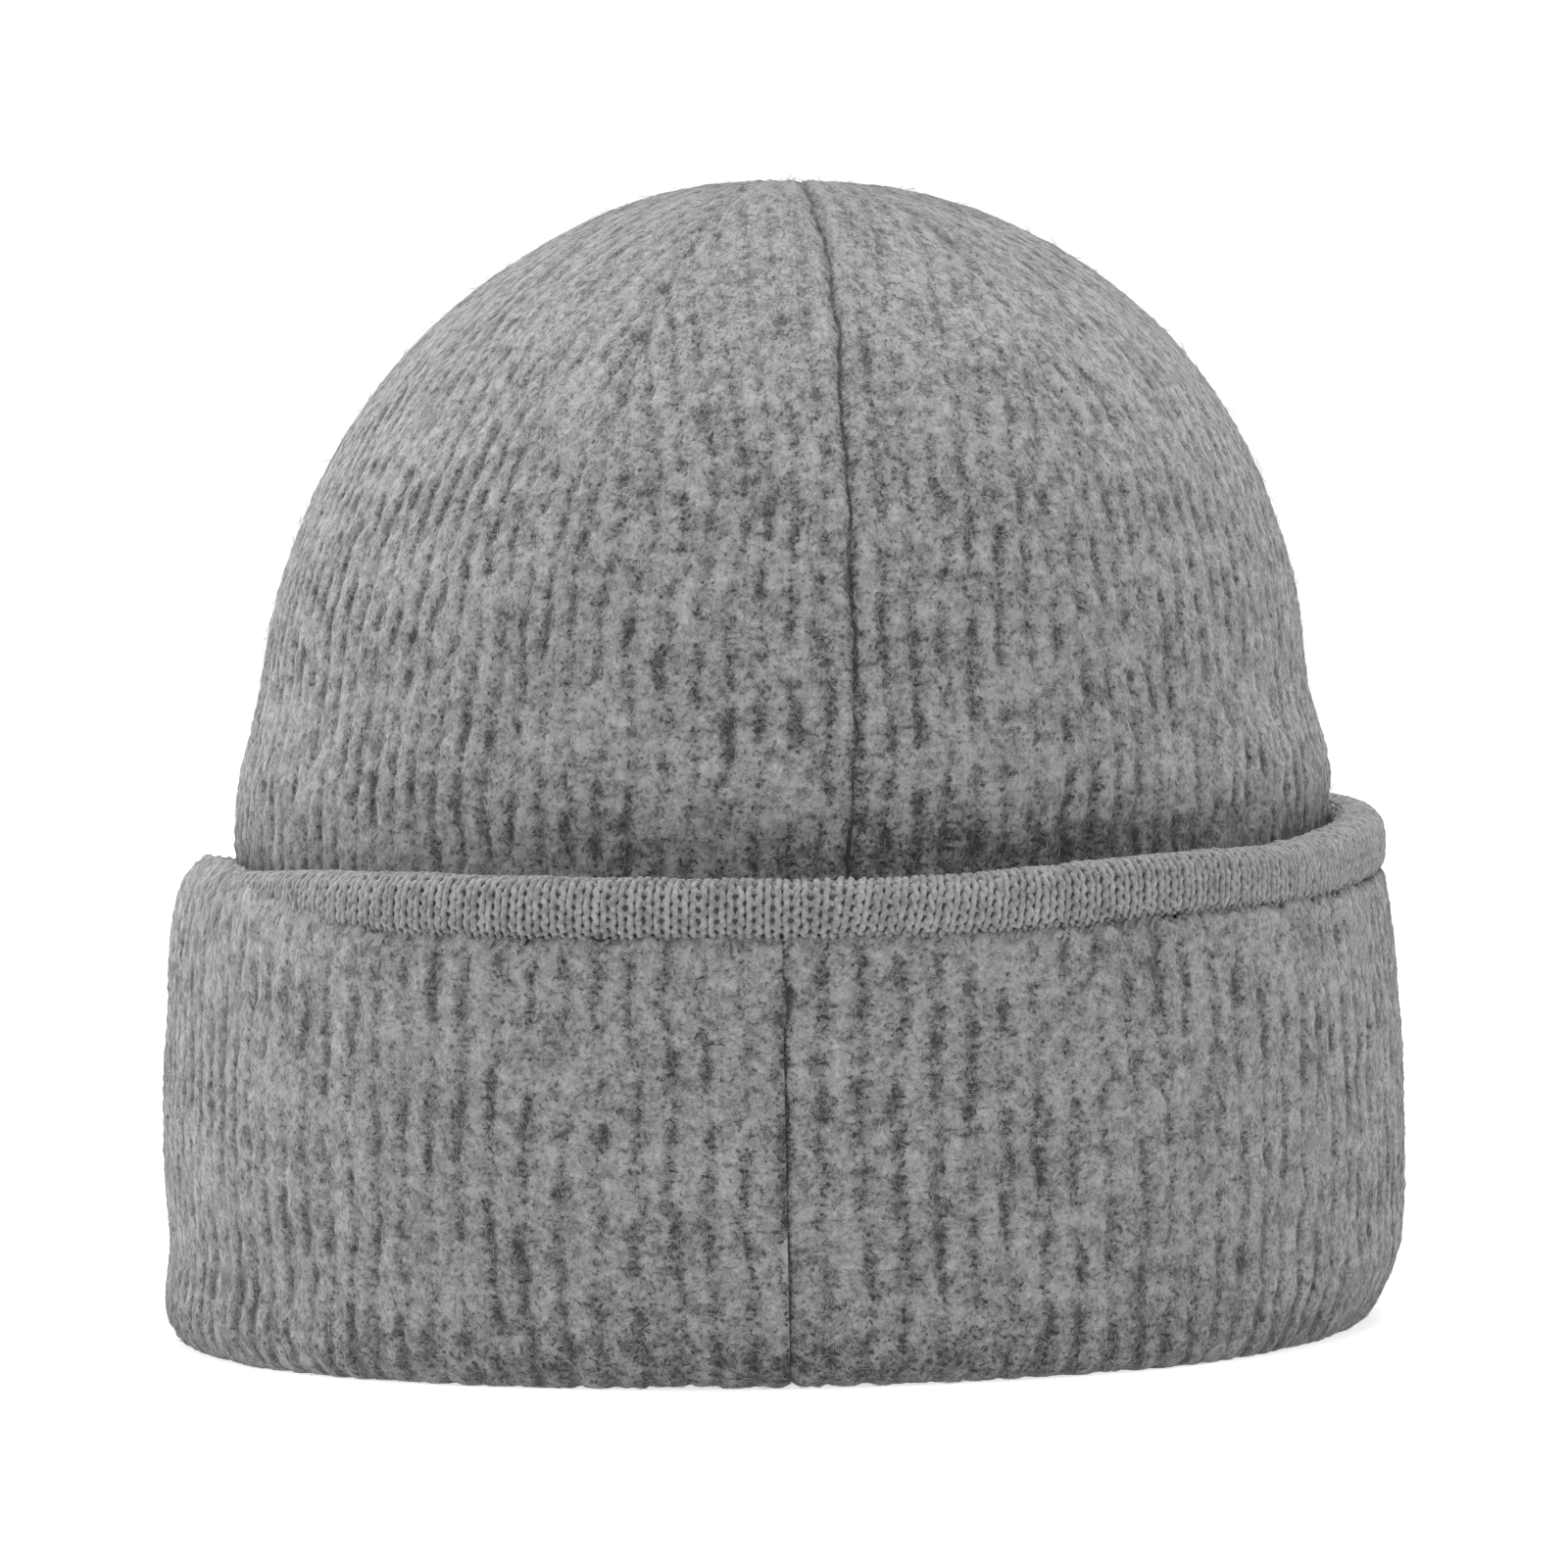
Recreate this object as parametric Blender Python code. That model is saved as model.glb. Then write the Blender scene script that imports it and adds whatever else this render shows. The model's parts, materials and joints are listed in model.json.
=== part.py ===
"""Cuffed beanie in felted rib knit, built piece by piece as it would come apart at its seams.

The hat stands on its folded brim. +Z is up, +Y points to the forehead and +X to the wearer's right, so
the centre-back seam is on the -Y side. The origin is under the middle of the brim, on the surface that the
hat stands on. Angles round the hat are measured in plan from the back towards the wearer's right.
"""

import math

import bmesh
import bpy

# Driving dimensions, in metres.
TOTAL_HEIGHT = 0.165  # brim to the top of the crown, as worn
WALL_HALF_WIDTH = 0.0785  # outer face of the wall above the ears, from the middle plane
DEPTH_RATIO = 1.25  # an oval head is this much deeper than it is wide
DOME_HEIGHT = 0.065  # the rounded part of the crown
WALL_TAPER = 0.148  # how much the crown widens on its way down
CROWN_LEAN = 0.038  # how much the crown leans to the right on its way up from the cuff
KNIT = 0.003  # thickness of one layer of felted rib
GAP = 0.0003  # clearance between pieces that touch

CUFF_TOP = 0.0727  # upper edge of the hem trim
HEM_HEIGHT = 0.0086
HEM_THICKNESS = 0.0078
HEM_CLEARANCE = 0.0006  # between the hem trim and the wall that it slides on
HEM_SQUARENESS = 0.6  # exponent of the oval section, below 1 for fuller corners
HEM_TILT = 0.0031  # the hem sits higher at the front and lower at the back by this much
HEM_DIP = 0.0075  # how far the cuff's rim hangs lower at the left front
HEM_DIP_ANGLE = math.radians(225)
HEM_DIP_SPREAD = math.radians(45)
HEM_SEAM_HEIGHT = 0.0010
HEM_SEAM_INSET = 0.0012  # the linking stitches lie this deep in the groove under the hem
FOLD_HEIGHT = 0.0145  # the rounded turn of the knit at the bottom
FOLD_FLAT = 0.0016  # half the width of the flat that the fold rests on
CUFF_PROUD_LOW = 0.0107  # how far the cuff's outer face stands out from the wall, just above the fold
CUFF_PROUD_MIDDLE = 0.0110
CUFF_PROUD_TOP = 0.0089

CROWN_SEAM_ANGLE = math.radians(7.5)  # the centre-back seam in the crown
CUFF_SEAM_ANGLE = 0.0  # the same seam where it comes round the fold and up the cuff
GORE_COUNT = 6
DART_DEPTH = 0.043  # the darts end this far below the top
CLOSURE_ARC = 0.05  # radians of dome left open at the top for the gathered closure
CLOSURE_TIP = 0.7  # width of the gathered plug's top, as a share of the plug
KNOT_HEIGHT = 0.0030  # the knot under the plug
KNOT_SHOULDER = 0.0020
KNOT_WIDTH = 1.5  # of the knot's middle, and of its lower end, as shares of the plug
KNOT_END = 0.8
RIDGE_WIDTH = 0.0024  # seam allowances, which stand on the knit's inner side
RIDGE_HEIGHT = 0.0016
CUFF_RIDGE_HEIGHT = 0.0012

LABEL_FROM_SEAM = math.radians(2)
LABEL_WIDTH_ANGLE = math.radians(13)
LABEL_TOP = 0.054
LABEL_BOTTOM = 0.022
LABEL_THICKNESS = 0.0008
LABEL_STITCH = 0.0008

# How finely the solids are divided.
STATIONS = 48  # round the whole hat
GORE_ROWS = 8
WALL_ROWS = 6
BAND_ROWS = 3
BAND_SEAM_ROWS = 6
FOLD_ROWS = 6  # in a quarter of the turn
CUFF_ROWS = 6
HEM_POINTS = 14  # round the hem's section
CLOSURE_SIDES = 12
LABEL_ROWS = 3
LABEL_COLUMNS = 4
SLOPE_STEP = 0.001  # radians of profile between the two places that give its slope

# Worked out from the driving dimensions.
WALL_HALF_DEPTH = WALL_HALF_WIDTH * DEPTH_RATIO
CROWN_EXPOSED = TOTAL_HEIGHT - CUFF_TOP
DOME_HALF_WIDTH = WALL_HALF_WIDTH - WALL_TAPER * CROWN_EXPOSED
STATION_ANGLE = 2 * math.pi / STATIONS
GORE_ANGLE = 2 * math.pi / GORE_COUNT
HEM_BOTTOM = CUFF_TOP - HEM_HEIGHT
CUFF_PANEL_TOP = HEM_BOTTOM - HEM_SEAM_HEIGHT - 2 * GAP
ARC_GAP = GAP / DOME_HEIGHT
WALL_JOIN = HEM_BOTTOM  # height where the crown wall meets the band, hidden behind the hem

GREY_KNIT = (0.31, 0.31, 0.315, 1.0)
GREY_SHADED = (0.25, 0.25, 0.255, 1.0)
GREY_JERSEY = (0.38, 0.38, 0.385, 1.0)
GREY_YARN = (0.16, 0.16, 0.165, 1.0)
LABEL_WHITE = (0.80, 0.80, 0.78, 1.0)


def clear_scene():
    for old in list(bpy.data.objects):
        bpy.data.objects.remove(old, do_unlink=True)


def material(name, colour, roughness):
    made = bpy.data.materials.new(name)
    made.use_nodes = True
    shader = made.node_tree.nodes["Principled BSDF"]
    shader.inputs["Base Color"].default_value = colour
    shader.inputs["Roughness"].default_value = roughness
    shader.inputs["Metallic"].default_value = 0.0
    return made


def plan_point(angle, half_width, half_depth, z, along=0.0):
    """A point of the oval with these half axes at height z, moved by along on the oval's tangent.

    Above the cuff the oval's middle moves to the right, as the crown leans.
    """
    tangent = (half_width * math.cos(angle), half_depth * math.sin(angle))
    share = along / math.hypot(*tangent)
    lean = CROWN_LEAN * max(z - CUFF_TOP, 0.0)
    x = half_width * math.sin(angle) + tangent[0] * share + lean
    y = -half_depth * math.cos(angle) + tangent[1] * share
    return (x, y, z)


def arc_at_depth(depth):
    """The crown profile's parameter at this depth below the top."""
    if depth <= DOME_HEIGHT:
        return math.acos(1 - depth / DOME_HEIGHT)
    return math.pi / 2 + (depth - DOME_HEIGHT) / DOME_HEIGHT


def crown_profile(arc):
    """Half width and height of the crown's outer face. The dome turns into a wall that widens downwards."""
    turn = min(arc, math.pi / 2)
    depth = DOME_HEIGHT * (1 - math.cos(turn)) + DOME_HEIGHT * (arc - turn)
    half_width = DOME_HALF_WIDTH * math.sin(turn) + WALL_TAPER * min(depth, CROWN_EXPOSED)
    return half_width, TOTAL_HEIGHT - depth


def crown_ring(arc, inset):
    """Half width, half depth and height at a place on the profile, inset below the outer face."""
    before, after = crown_profile(max(arc - SLOPE_STEP, 0.0)), crown_profile(arc + SLOPE_STEP)
    run, fall = after[0] - before[0], before[1] - after[1]
    length = math.hypot(run, fall)
    half_width, z = crown_profile(arc)
    inward, down = inset * fall / length, inset * run / length
    return half_width - inward, half_width * DEPTH_RATIO - inward, z - down


def sweep(name, sections, closed, finish, sharp_angle=math.radians(50)):
    """One solid through a row of sections with the same number of points.

    A section runs along one side and back along the other, so each end is capped by a strip of quads.
    """
    mesh = bpy.data.meshes.new(name)
    solid = bmesh.new()
    rows = [[solid.verts.new(point) for point in section] for section in sections]
    count = len(sections[0])
    pairs = list(zip(rows, rows[1:]))
    if closed:
        pairs.append((rows[-1], rows[0]))
    for row, following in pairs:
        for k in range(count):
            after = (k + 1) % count
            solid.faces.new((row[k], row[after], following[after], following[k]))
    if not closed:
        for row in (rows[0], rows[-1]):
            for k in range(count // 2 - 1):
                solid.faces.new((row[k], row[k + 1], row[count - 2 - k], row[count - 1 - k]))
    bmesh.ops.recalc_face_normals(solid, faces=solid.faces)
    solid.to_mesh(mesh)
    solid.free()
    mesh.shade_smooth()
    mesh.set_sharp_from_angle(angle=sharp_angle)
    mesh.materials.append(finish)
    made = bpy.data.objects.new(name, mesh)
    bpy.context.scene.collection.objects.link(made)
    return made


def spaced(first, last, count):
    return [first + (last - first) * k / (count - 1) for k in range(count)]


def crown_strip(arcs):
    """The knit's section through places on the profile: down its outer face and back up its inner one."""
    outer = [crown_ring(arc, 0.0) for arc in arcs]
    inner = [crown_ring(arc, KNIT) for arc in reversed(arcs)]
    return outer + inner


def gore_arcs():
    return spaced(CLOSURE_ARC, arc_at_depth(DART_DEPTH), GORE_ROWS)


def wall_arcs():
    """From just below the darts to just above the band."""
    top, bottom = arc_at_depth(DART_DEPTH), arc_at_depth(TOTAL_HEIGHT - WALL_JOIN)
    return spaced(top + ARC_GAP, bottom - ARC_GAP, WALL_ROWS)


def wall_section(proud_and_height):
    """Half axes and heights of points given by how far they stand out from the wall, and their height."""
    return [(WALL_HALF_WIDTH + proud, WALL_HALF_DEPTH + proud, z) for proud, z in proud_and_height]


def rim_lift(x, y):
    """How far the cuff's rim is lifted here: it is higher in front, but dips at the left front."""
    away = math.remainder(math.atan2(x, -y) - HEM_DIP_ANGLE, 2 * math.pi)
    return HEM_TILT * y / WALL_HALF_DEPTH - HEM_DIP * math.exp(-((away / HEM_DIP_SPREAD) ** 2))


def lifted(point, share):
    """A point moved with the rim, of whose lift a lower place takes only a share."""
    x, y, z = point
    return (x, y, z + share * rim_lift(x, y))


def ring(name, section, finish, lifts=None):
    """A closed ring with this section, whose points may take shares of the rim's lift."""
    shares = lifts or [0.0] * len(section)
    sections = []
    for station in range(STATIONS):
        angle = station * STATION_ANGLE
        points = [plan_point(angle, *place) for place in section]
        sections.append([lifted(point, share) for point, share in zip(points, shares)])
    return sweep(name, sections, True, finish)


def ridge(name, places, height, finish, lifts=None):
    """A seam allowance along places, each an angle and a function from inset to (half axes, height)."""
    shares = lifts or [0.0] * len(places)
    half = RIDGE_WIDTH / 2
    corners = ((GAP, -half), (GAP, half), (GAP + height, half), (GAP + height, -half))
    sections = []
    for (angle, ring_at), share in zip(places, shares):
        points = [plan_point(angle, *ring_at(inset), along=along) for inset, along in corners]
        sections.append([lifted(point, share) for point in points])
    return sweep(name, sections, False, finish)


def crown_places(arcs_and_angles):
    """Places on the crown's inner face."""
    return [(angle, lambda inset, arc=arc: crown_ring(arc, KNIT + inset)) for arc, angle in arcs_and_angles]


def make_gores(finish):
    """The crown's gores, between its darts. The back one has the centre-back seam in its middle."""
    names = ("back", "right_rear", "right_front", "front", "left_front", "left_rear")
    strip = crown_strip(gore_arcs())
    steps = STATIONS // GORE_COUNT
    for number, name in enumerate(names):
        start = CROWN_SEAM_ANGLE + (number - 0.5) * GORE_ANGLE
        sections = []
        for step in range(steps + 1):
            along = GAP / 2 if step == 0 else -GAP / 2 if step == steps else 0.0
            angle = start + step * STATION_ANGLE
            sections.append([plan_point(angle, *place, along=along) for place in strip])
        sweep("crown_gore_" + name, sections, False, finish)


def make_dart_seams(finish):
    """The linked seams inside the crown that close the darts between the gores."""
    names = ("right_rear", "right", "right_front", "left_front", "left", "left_rear")
    for number, name in enumerate(names):
        angle = CROWN_SEAM_ANGLE + (number + 0.5) * GORE_ANGLE
        places = crown_places([(arc, angle) for arc in gore_arcs()[1:]])
        ridge("dart_seam_" + name, places, RIDGE_HEIGHT, finish)


def make_crown_closure(finish):
    """The gathered stitches that close the top: a plug between the gores' tips with a knot inside."""
    top_half_width = crown_profile(CLOSURE_ARC)[0]
    plug = top_half_width - 2 * GAP
    knot_top = TOTAL_HEIGHT - KNIT - 2 * GAP
    outline = [
        (plug * CLOSURE_TIP, TOTAL_HEIGHT),
        (plug, TOTAL_HEIGHT - GAP),
        (plug, knot_top),
        (plug * KNOT_WIDTH, knot_top - GAP),
        (plug * KNOT_WIDTH, knot_top - KNOT_SHOULDER),
        (plug * KNOT_END, knot_top - KNOT_HEIGHT),
    ]
    turns = [2 * math.pi * side / CLOSURE_SIDES for side in range(CLOSURE_SIDES)]
    rows = [[plan_point(turn, r, r * DEPTH_RATIO, z) for turn in turns] for r, z in outline]
    sweep("crown_closure", rows, False, finish)


def make_wall_and_band(finish):
    """The plain tube of the hat: the crown wall that shows, and the band under the cuff."""
    ring("crown_wall", crown_strip(wall_arcs()), finish)
    heights = spaced(WALL_JOIN, FOLD_HEIGHT + GAP, BAND_ROWS)
    outer = [(0.0, z) for z in heights]
    inner = [(-KNIT, z) for z in reversed(heights)]
    ring("side_band", wall_section(outer + inner), finish)


def make_centre_back_seam(finish):
    """The seam inside the hat, from the fold to the top. It drifts sideways under the cuff."""
    places = [(arc, CROWN_SEAM_ANGLE) for arc in gore_arcs()[1:] + wall_arcs()]
    heights = spaced(WALL_JOIN, FOLD_HEIGHT + KNIT, BAND_SEAM_ROWS)
    angles = spaced(CROWN_SEAM_ANGLE, CUFF_SEAM_ANGLE, BAND_SEAM_ROWS)
    places += [(arc_at_depth(TOTAL_HEIGHT - z), angle) for z, angle in zip(heights, angles)]
    ridge("centre_back_seam", crown_places(places), RIDGE_HEIGHT, finish)


def fold_contour(half_width, bottom):
    """Two quarter ovals, from the cuff's side down to a flat at the bottom and up to the head's side."""
    middle = (CUFF_PROUD_LOW - KNIT) / 2
    points = []
    for side, first in ((1, 0.0), (-1, math.pi / 2)):
        for turn in spaced(first, first + math.pi / 2, FOLD_ROWS):
            proud = middle + side * FOLD_FLAT + (half_width - FOLD_FLAT) * math.cos(turn)
            points.append((proud, FOLD_HEIGHT - (FOLD_HEIGHT - bottom) * math.sin(turn)))
    return points


def make_brim_fold(finish):
    """The turn of the knit at the bottom, from the band inside to the cuff outside."""
    half_width = (CUFF_PROUD_LOW + KNIT) / 2
    outer = fold_contour(half_width, 0.0)
    inner = fold_contour(half_width - KNIT, KNIT)
    ring("brim_fold", wall_section(outer + inner[::-1]), finish)


def cuff_proud(z):
    """How far the cuff's outer face stands out from the wall: a barrel between the fold and the hem."""
    share = (z - FOLD_HEIGHT) / (CUFF_PANEL_TOP - FOLD_HEIGHT)
    line = CUFF_PROUD_LOW + (CUFF_PROUD_TOP - CUFF_PROUD_LOW) * share
    bulge = CUFF_PROUD_MIDDLE - (CUFF_PROUD_LOW + CUFF_PROUD_TOP) / 2
    return line + bulge * 4 * share * (1 - share)


def make_cuff(finish, yarn):
    """The turned-up panel, with the seam on its hidden side."""
    heights = spaced(FOLD_HEIGHT + GAP, CUFF_PANEL_TOP, CUFF_ROWS)
    outer = [(cuff_proud(z), z) for z in heights]
    inner = [(proud - KNIT, z) for proud, z in reversed(outer)]
    shares = [(z - heights[0]) / (heights[-1] - heights[0]) for _, z in outer + inner]
    ring("cuff_panel", wall_section(outer + inner), finish, lifts=shares)

    def behind(inset, z):
        return wall_section([(cuff_proud(z) - KNIT - inset, z)])[0]

    places = [(CUFF_SEAM_ANGLE, lambda inset, z=z: behind(inset, z)) for z in heights]
    ridge("cuff_seam", places, CUFF_RIDGE_HEIGHT, yarn, lifts=shares[: len(heights)])


def make_hem(finish, yarn):
    """The rolled jersey trim on the cuff's edge, and the linking stitches under it."""
    middle = HEM_CLEARANCE + HEM_THICKNESS / 2
    outline = []
    for k in range(HEM_POINTS):
        turn = 2 * math.pi * k / HEM_POINTS
        across, up = math.cos(turn), math.sin(turn)
        across = math.copysign(abs(across) ** HEM_SQUARENESS, across)
        up = math.copysign(abs(up) ** HEM_SQUARENESS, up)
        outline.append((middle + across * HEM_THICKNESS / 2, HEM_BOTTOM + HEM_HEIGHT / 2 * (1 + up)))
    ring("hem_trim", wall_section(outline), finish, lifts=[1.0] * len(outline))
    seam_top, seam_bottom = HEM_BOTTOM - GAP, HEM_BOTTOM - GAP - HEM_SEAM_HEIGHT
    outer, inner = CUFF_PROUD_TOP - HEM_SEAM_INSET, CUFF_PROUD_TOP - KNIT
    outline = [(outer, seam_top), (outer, seam_bottom), (inner, seam_bottom), (inner, seam_top)]
    ring("hem_seam", wall_section(outline), yarn, lifts=[1.0] * len(outline))


def make_label(cloth, yarn):
    """A blank care label inside the back, caught by one edge beside the seam, and its row of stitches."""
    edge = CROWN_SEAM_ANGLE + LABEL_FROM_SEAM
    arcs = [arc_at_depth(TOTAL_HEIGHT - z) for z in spaced(LABEL_TOP, LABEL_BOTTOM, LABEL_ROWS)]

    def strip(near, far):
        return [crown_ring(arc, near) for arc in arcs] + [crown_ring(arc, far) for arc in reversed(arcs)]

    near = KNIT + GAP
    section = strip(near, near + LABEL_THICKNESS)
    angles = spaced(edge, edge + LABEL_WIDTH_ANGLE, LABEL_COLUMNS)
    rows = [[plan_point(angle, *place) for place in section] for angle in angles]
    sweep("care_label", rows, False, cloth)
    near += LABEL_THICKNESS + GAP
    section = strip(near, near + LABEL_STITCH)
    offsets = (LABEL_STITCH, 2 * LABEL_STITCH)
    rows = [[plan_point(edge, *place, along=offset) for place in section] for offset in offsets]
    sweep("label_stitch", rows, False, yarn)


def main():
    clear_scene()
    knit = material("melange_knit", GREY_KNIT, roughness=0.95)
    hidden_knit = material("melange_knit_inside", GREY_SHADED, roughness=0.95)
    jersey = material("hem_jersey", GREY_JERSEY, roughness=0.9)
    yarn = material("seam_yarn", GREY_YARN, roughness=0.9)
    label = material("label_cloth", LABEL_WHITE, roughness=0.8)
    make_gores(knit)
    make_dart_seams(yarn)
    make_crown_closure(yarn)
    make_wall_and_band(hidden_knit)
    make_centre_back_seam(yarn)
    make_brim_fold(knit)
    make_cuff(knit, yarn)
    make_hem(jersey, yarn)
    make_label(label, yarn)


main()
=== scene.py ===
"""Looks of the cuffed beanie: felted rib knit, jersey hem, seams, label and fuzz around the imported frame."""

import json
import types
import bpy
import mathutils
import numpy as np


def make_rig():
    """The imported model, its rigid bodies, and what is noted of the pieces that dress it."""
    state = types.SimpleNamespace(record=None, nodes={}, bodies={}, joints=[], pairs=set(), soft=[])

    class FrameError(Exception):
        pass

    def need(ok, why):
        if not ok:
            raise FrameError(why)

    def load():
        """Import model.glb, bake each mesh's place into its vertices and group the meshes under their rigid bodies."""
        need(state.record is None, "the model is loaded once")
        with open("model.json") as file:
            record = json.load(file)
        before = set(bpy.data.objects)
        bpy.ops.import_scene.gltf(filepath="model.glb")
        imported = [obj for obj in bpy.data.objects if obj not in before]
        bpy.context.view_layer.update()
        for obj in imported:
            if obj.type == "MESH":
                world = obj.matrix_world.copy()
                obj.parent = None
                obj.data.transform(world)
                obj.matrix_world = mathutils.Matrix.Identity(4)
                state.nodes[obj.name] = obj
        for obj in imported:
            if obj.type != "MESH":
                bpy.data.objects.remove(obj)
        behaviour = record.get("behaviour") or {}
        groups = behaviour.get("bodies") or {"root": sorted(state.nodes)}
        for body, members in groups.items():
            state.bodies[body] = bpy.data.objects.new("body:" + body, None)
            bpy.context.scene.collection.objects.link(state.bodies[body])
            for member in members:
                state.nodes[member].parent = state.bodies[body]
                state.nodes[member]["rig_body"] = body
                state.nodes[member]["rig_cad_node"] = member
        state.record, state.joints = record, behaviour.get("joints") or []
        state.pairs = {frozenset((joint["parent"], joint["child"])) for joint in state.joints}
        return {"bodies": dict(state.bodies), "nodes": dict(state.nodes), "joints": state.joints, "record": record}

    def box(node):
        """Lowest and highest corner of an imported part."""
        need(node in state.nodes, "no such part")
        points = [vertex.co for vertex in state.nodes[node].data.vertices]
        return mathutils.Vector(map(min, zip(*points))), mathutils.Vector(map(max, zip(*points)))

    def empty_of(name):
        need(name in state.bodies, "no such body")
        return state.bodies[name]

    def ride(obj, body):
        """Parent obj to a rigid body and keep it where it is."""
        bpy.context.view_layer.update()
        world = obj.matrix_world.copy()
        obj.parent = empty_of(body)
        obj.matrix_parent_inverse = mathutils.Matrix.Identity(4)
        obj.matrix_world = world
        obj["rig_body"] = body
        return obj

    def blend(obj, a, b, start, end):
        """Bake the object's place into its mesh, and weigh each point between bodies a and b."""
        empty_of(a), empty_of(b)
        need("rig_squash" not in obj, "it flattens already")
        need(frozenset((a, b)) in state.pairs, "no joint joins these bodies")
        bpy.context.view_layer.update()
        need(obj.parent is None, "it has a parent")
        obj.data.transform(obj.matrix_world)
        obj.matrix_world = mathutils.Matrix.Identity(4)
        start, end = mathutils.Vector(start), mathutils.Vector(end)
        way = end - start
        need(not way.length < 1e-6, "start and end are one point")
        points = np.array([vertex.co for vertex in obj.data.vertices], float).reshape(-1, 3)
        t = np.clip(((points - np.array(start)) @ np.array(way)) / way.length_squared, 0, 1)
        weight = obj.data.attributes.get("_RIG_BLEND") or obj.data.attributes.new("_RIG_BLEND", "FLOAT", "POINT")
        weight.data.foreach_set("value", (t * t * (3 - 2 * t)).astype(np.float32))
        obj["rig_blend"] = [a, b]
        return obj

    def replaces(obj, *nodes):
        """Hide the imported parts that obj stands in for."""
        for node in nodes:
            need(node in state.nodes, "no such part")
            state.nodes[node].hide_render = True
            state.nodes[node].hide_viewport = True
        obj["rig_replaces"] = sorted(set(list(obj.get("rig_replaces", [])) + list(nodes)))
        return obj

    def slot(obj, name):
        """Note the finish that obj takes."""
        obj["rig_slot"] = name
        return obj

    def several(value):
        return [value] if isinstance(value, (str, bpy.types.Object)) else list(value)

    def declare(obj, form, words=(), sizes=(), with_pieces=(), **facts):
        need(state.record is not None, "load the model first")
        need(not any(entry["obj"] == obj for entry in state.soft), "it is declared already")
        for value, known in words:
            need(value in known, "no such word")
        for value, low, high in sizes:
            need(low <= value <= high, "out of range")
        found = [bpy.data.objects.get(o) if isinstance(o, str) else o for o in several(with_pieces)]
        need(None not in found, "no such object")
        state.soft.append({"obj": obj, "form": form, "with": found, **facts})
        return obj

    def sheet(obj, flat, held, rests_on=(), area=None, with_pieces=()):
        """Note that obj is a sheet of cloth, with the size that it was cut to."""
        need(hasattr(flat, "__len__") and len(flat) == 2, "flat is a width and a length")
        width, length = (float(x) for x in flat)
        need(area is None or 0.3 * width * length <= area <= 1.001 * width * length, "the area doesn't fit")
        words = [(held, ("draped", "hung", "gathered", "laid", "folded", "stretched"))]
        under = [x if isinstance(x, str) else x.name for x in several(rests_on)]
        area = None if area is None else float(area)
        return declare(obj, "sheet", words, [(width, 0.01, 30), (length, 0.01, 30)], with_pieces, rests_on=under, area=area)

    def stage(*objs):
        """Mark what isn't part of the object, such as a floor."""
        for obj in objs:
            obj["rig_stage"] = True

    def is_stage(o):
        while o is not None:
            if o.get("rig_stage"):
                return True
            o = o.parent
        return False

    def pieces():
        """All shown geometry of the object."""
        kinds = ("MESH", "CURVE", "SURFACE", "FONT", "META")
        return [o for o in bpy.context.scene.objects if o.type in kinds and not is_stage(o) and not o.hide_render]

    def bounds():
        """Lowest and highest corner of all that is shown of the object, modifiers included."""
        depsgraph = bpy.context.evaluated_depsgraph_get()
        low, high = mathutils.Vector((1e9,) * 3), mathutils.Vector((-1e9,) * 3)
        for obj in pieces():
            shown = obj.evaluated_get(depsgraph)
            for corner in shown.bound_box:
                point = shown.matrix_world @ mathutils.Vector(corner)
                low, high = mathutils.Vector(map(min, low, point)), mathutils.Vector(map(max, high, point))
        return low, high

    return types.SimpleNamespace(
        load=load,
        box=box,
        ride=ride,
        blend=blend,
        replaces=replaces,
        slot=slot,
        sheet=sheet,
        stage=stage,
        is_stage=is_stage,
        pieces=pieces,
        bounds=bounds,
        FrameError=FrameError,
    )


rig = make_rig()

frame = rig.load()

import json
import math

import bpy
import numpy as np
from mathutils import Matrix, Vector

cad_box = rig.bounds()
MM = 0.001

# Sizes read from the frame.
WALL_HALF_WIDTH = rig.box("side_band")[1].x
WALL_HALF_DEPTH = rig.box("side_band")[1].y
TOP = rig.box("crown_closure")[1].z
DART_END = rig.box("crown_wall")[1].z
BAND_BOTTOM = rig.box("side_band")[0].z
FOLD_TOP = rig.box("brim_fold")[1].z

# The CAD's own shape rules, repeated so that the cloth follows its solids.
DOME_HEIGHT = 65 * MM
WALL_TAPER = 0.148
CROWN_LEAN = 0.038
KNIT = 3 * MM
HEM_HEIGHT = 8.6 * MM
CUFF_PROUD_LOW = 10.7 * MM
CUFF_PROUD_MIDDLE = 11.0 * MM
CUFF_PROUD_TOP = 8.9 * MM
FOLD_FLAT = 1.6 * MM
HEM_CLEARANCE = 0.6 * MM
HEM_THICKNESS = 7.8 * MM
CROWN_SEAM_ANGLE = math.radians(7.5)
CUFF_SEAM_ANGLE = 0.0
GORES = ("back", "right_rear", "right_front", "front", "left_front", "left_rear")
GORE_ANGLE = 2 * math.pi / len(GORES)

HEM_TILT = 3.1 * MM
HEM_DIP = 7.5 * MM
HEM_DIP_ANGLE = math.radians(225)
HEM_DIP_SPREAD = math.radians(45)
CUFF_TOP = 72.7 * MM
HEM_BOTTOM = CUFF_TOP - HEM_HEIGHT
PANEL_TOP = HEM_BOTTOM - 0.5 * MM
EDGE_TOP = HEM_BOTTOM + 1.0 * MM
DEPTH_RATIO = WALL_HALF_DEPTH / WALL_HALF_WIDTH
CROWN_EXPOSED = TOP - CUFF_TOP
DOME_HALF_WIDTH = WALL_HALF_WIDTH - WALL_TAPER * CROWN_EXPOSED

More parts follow.
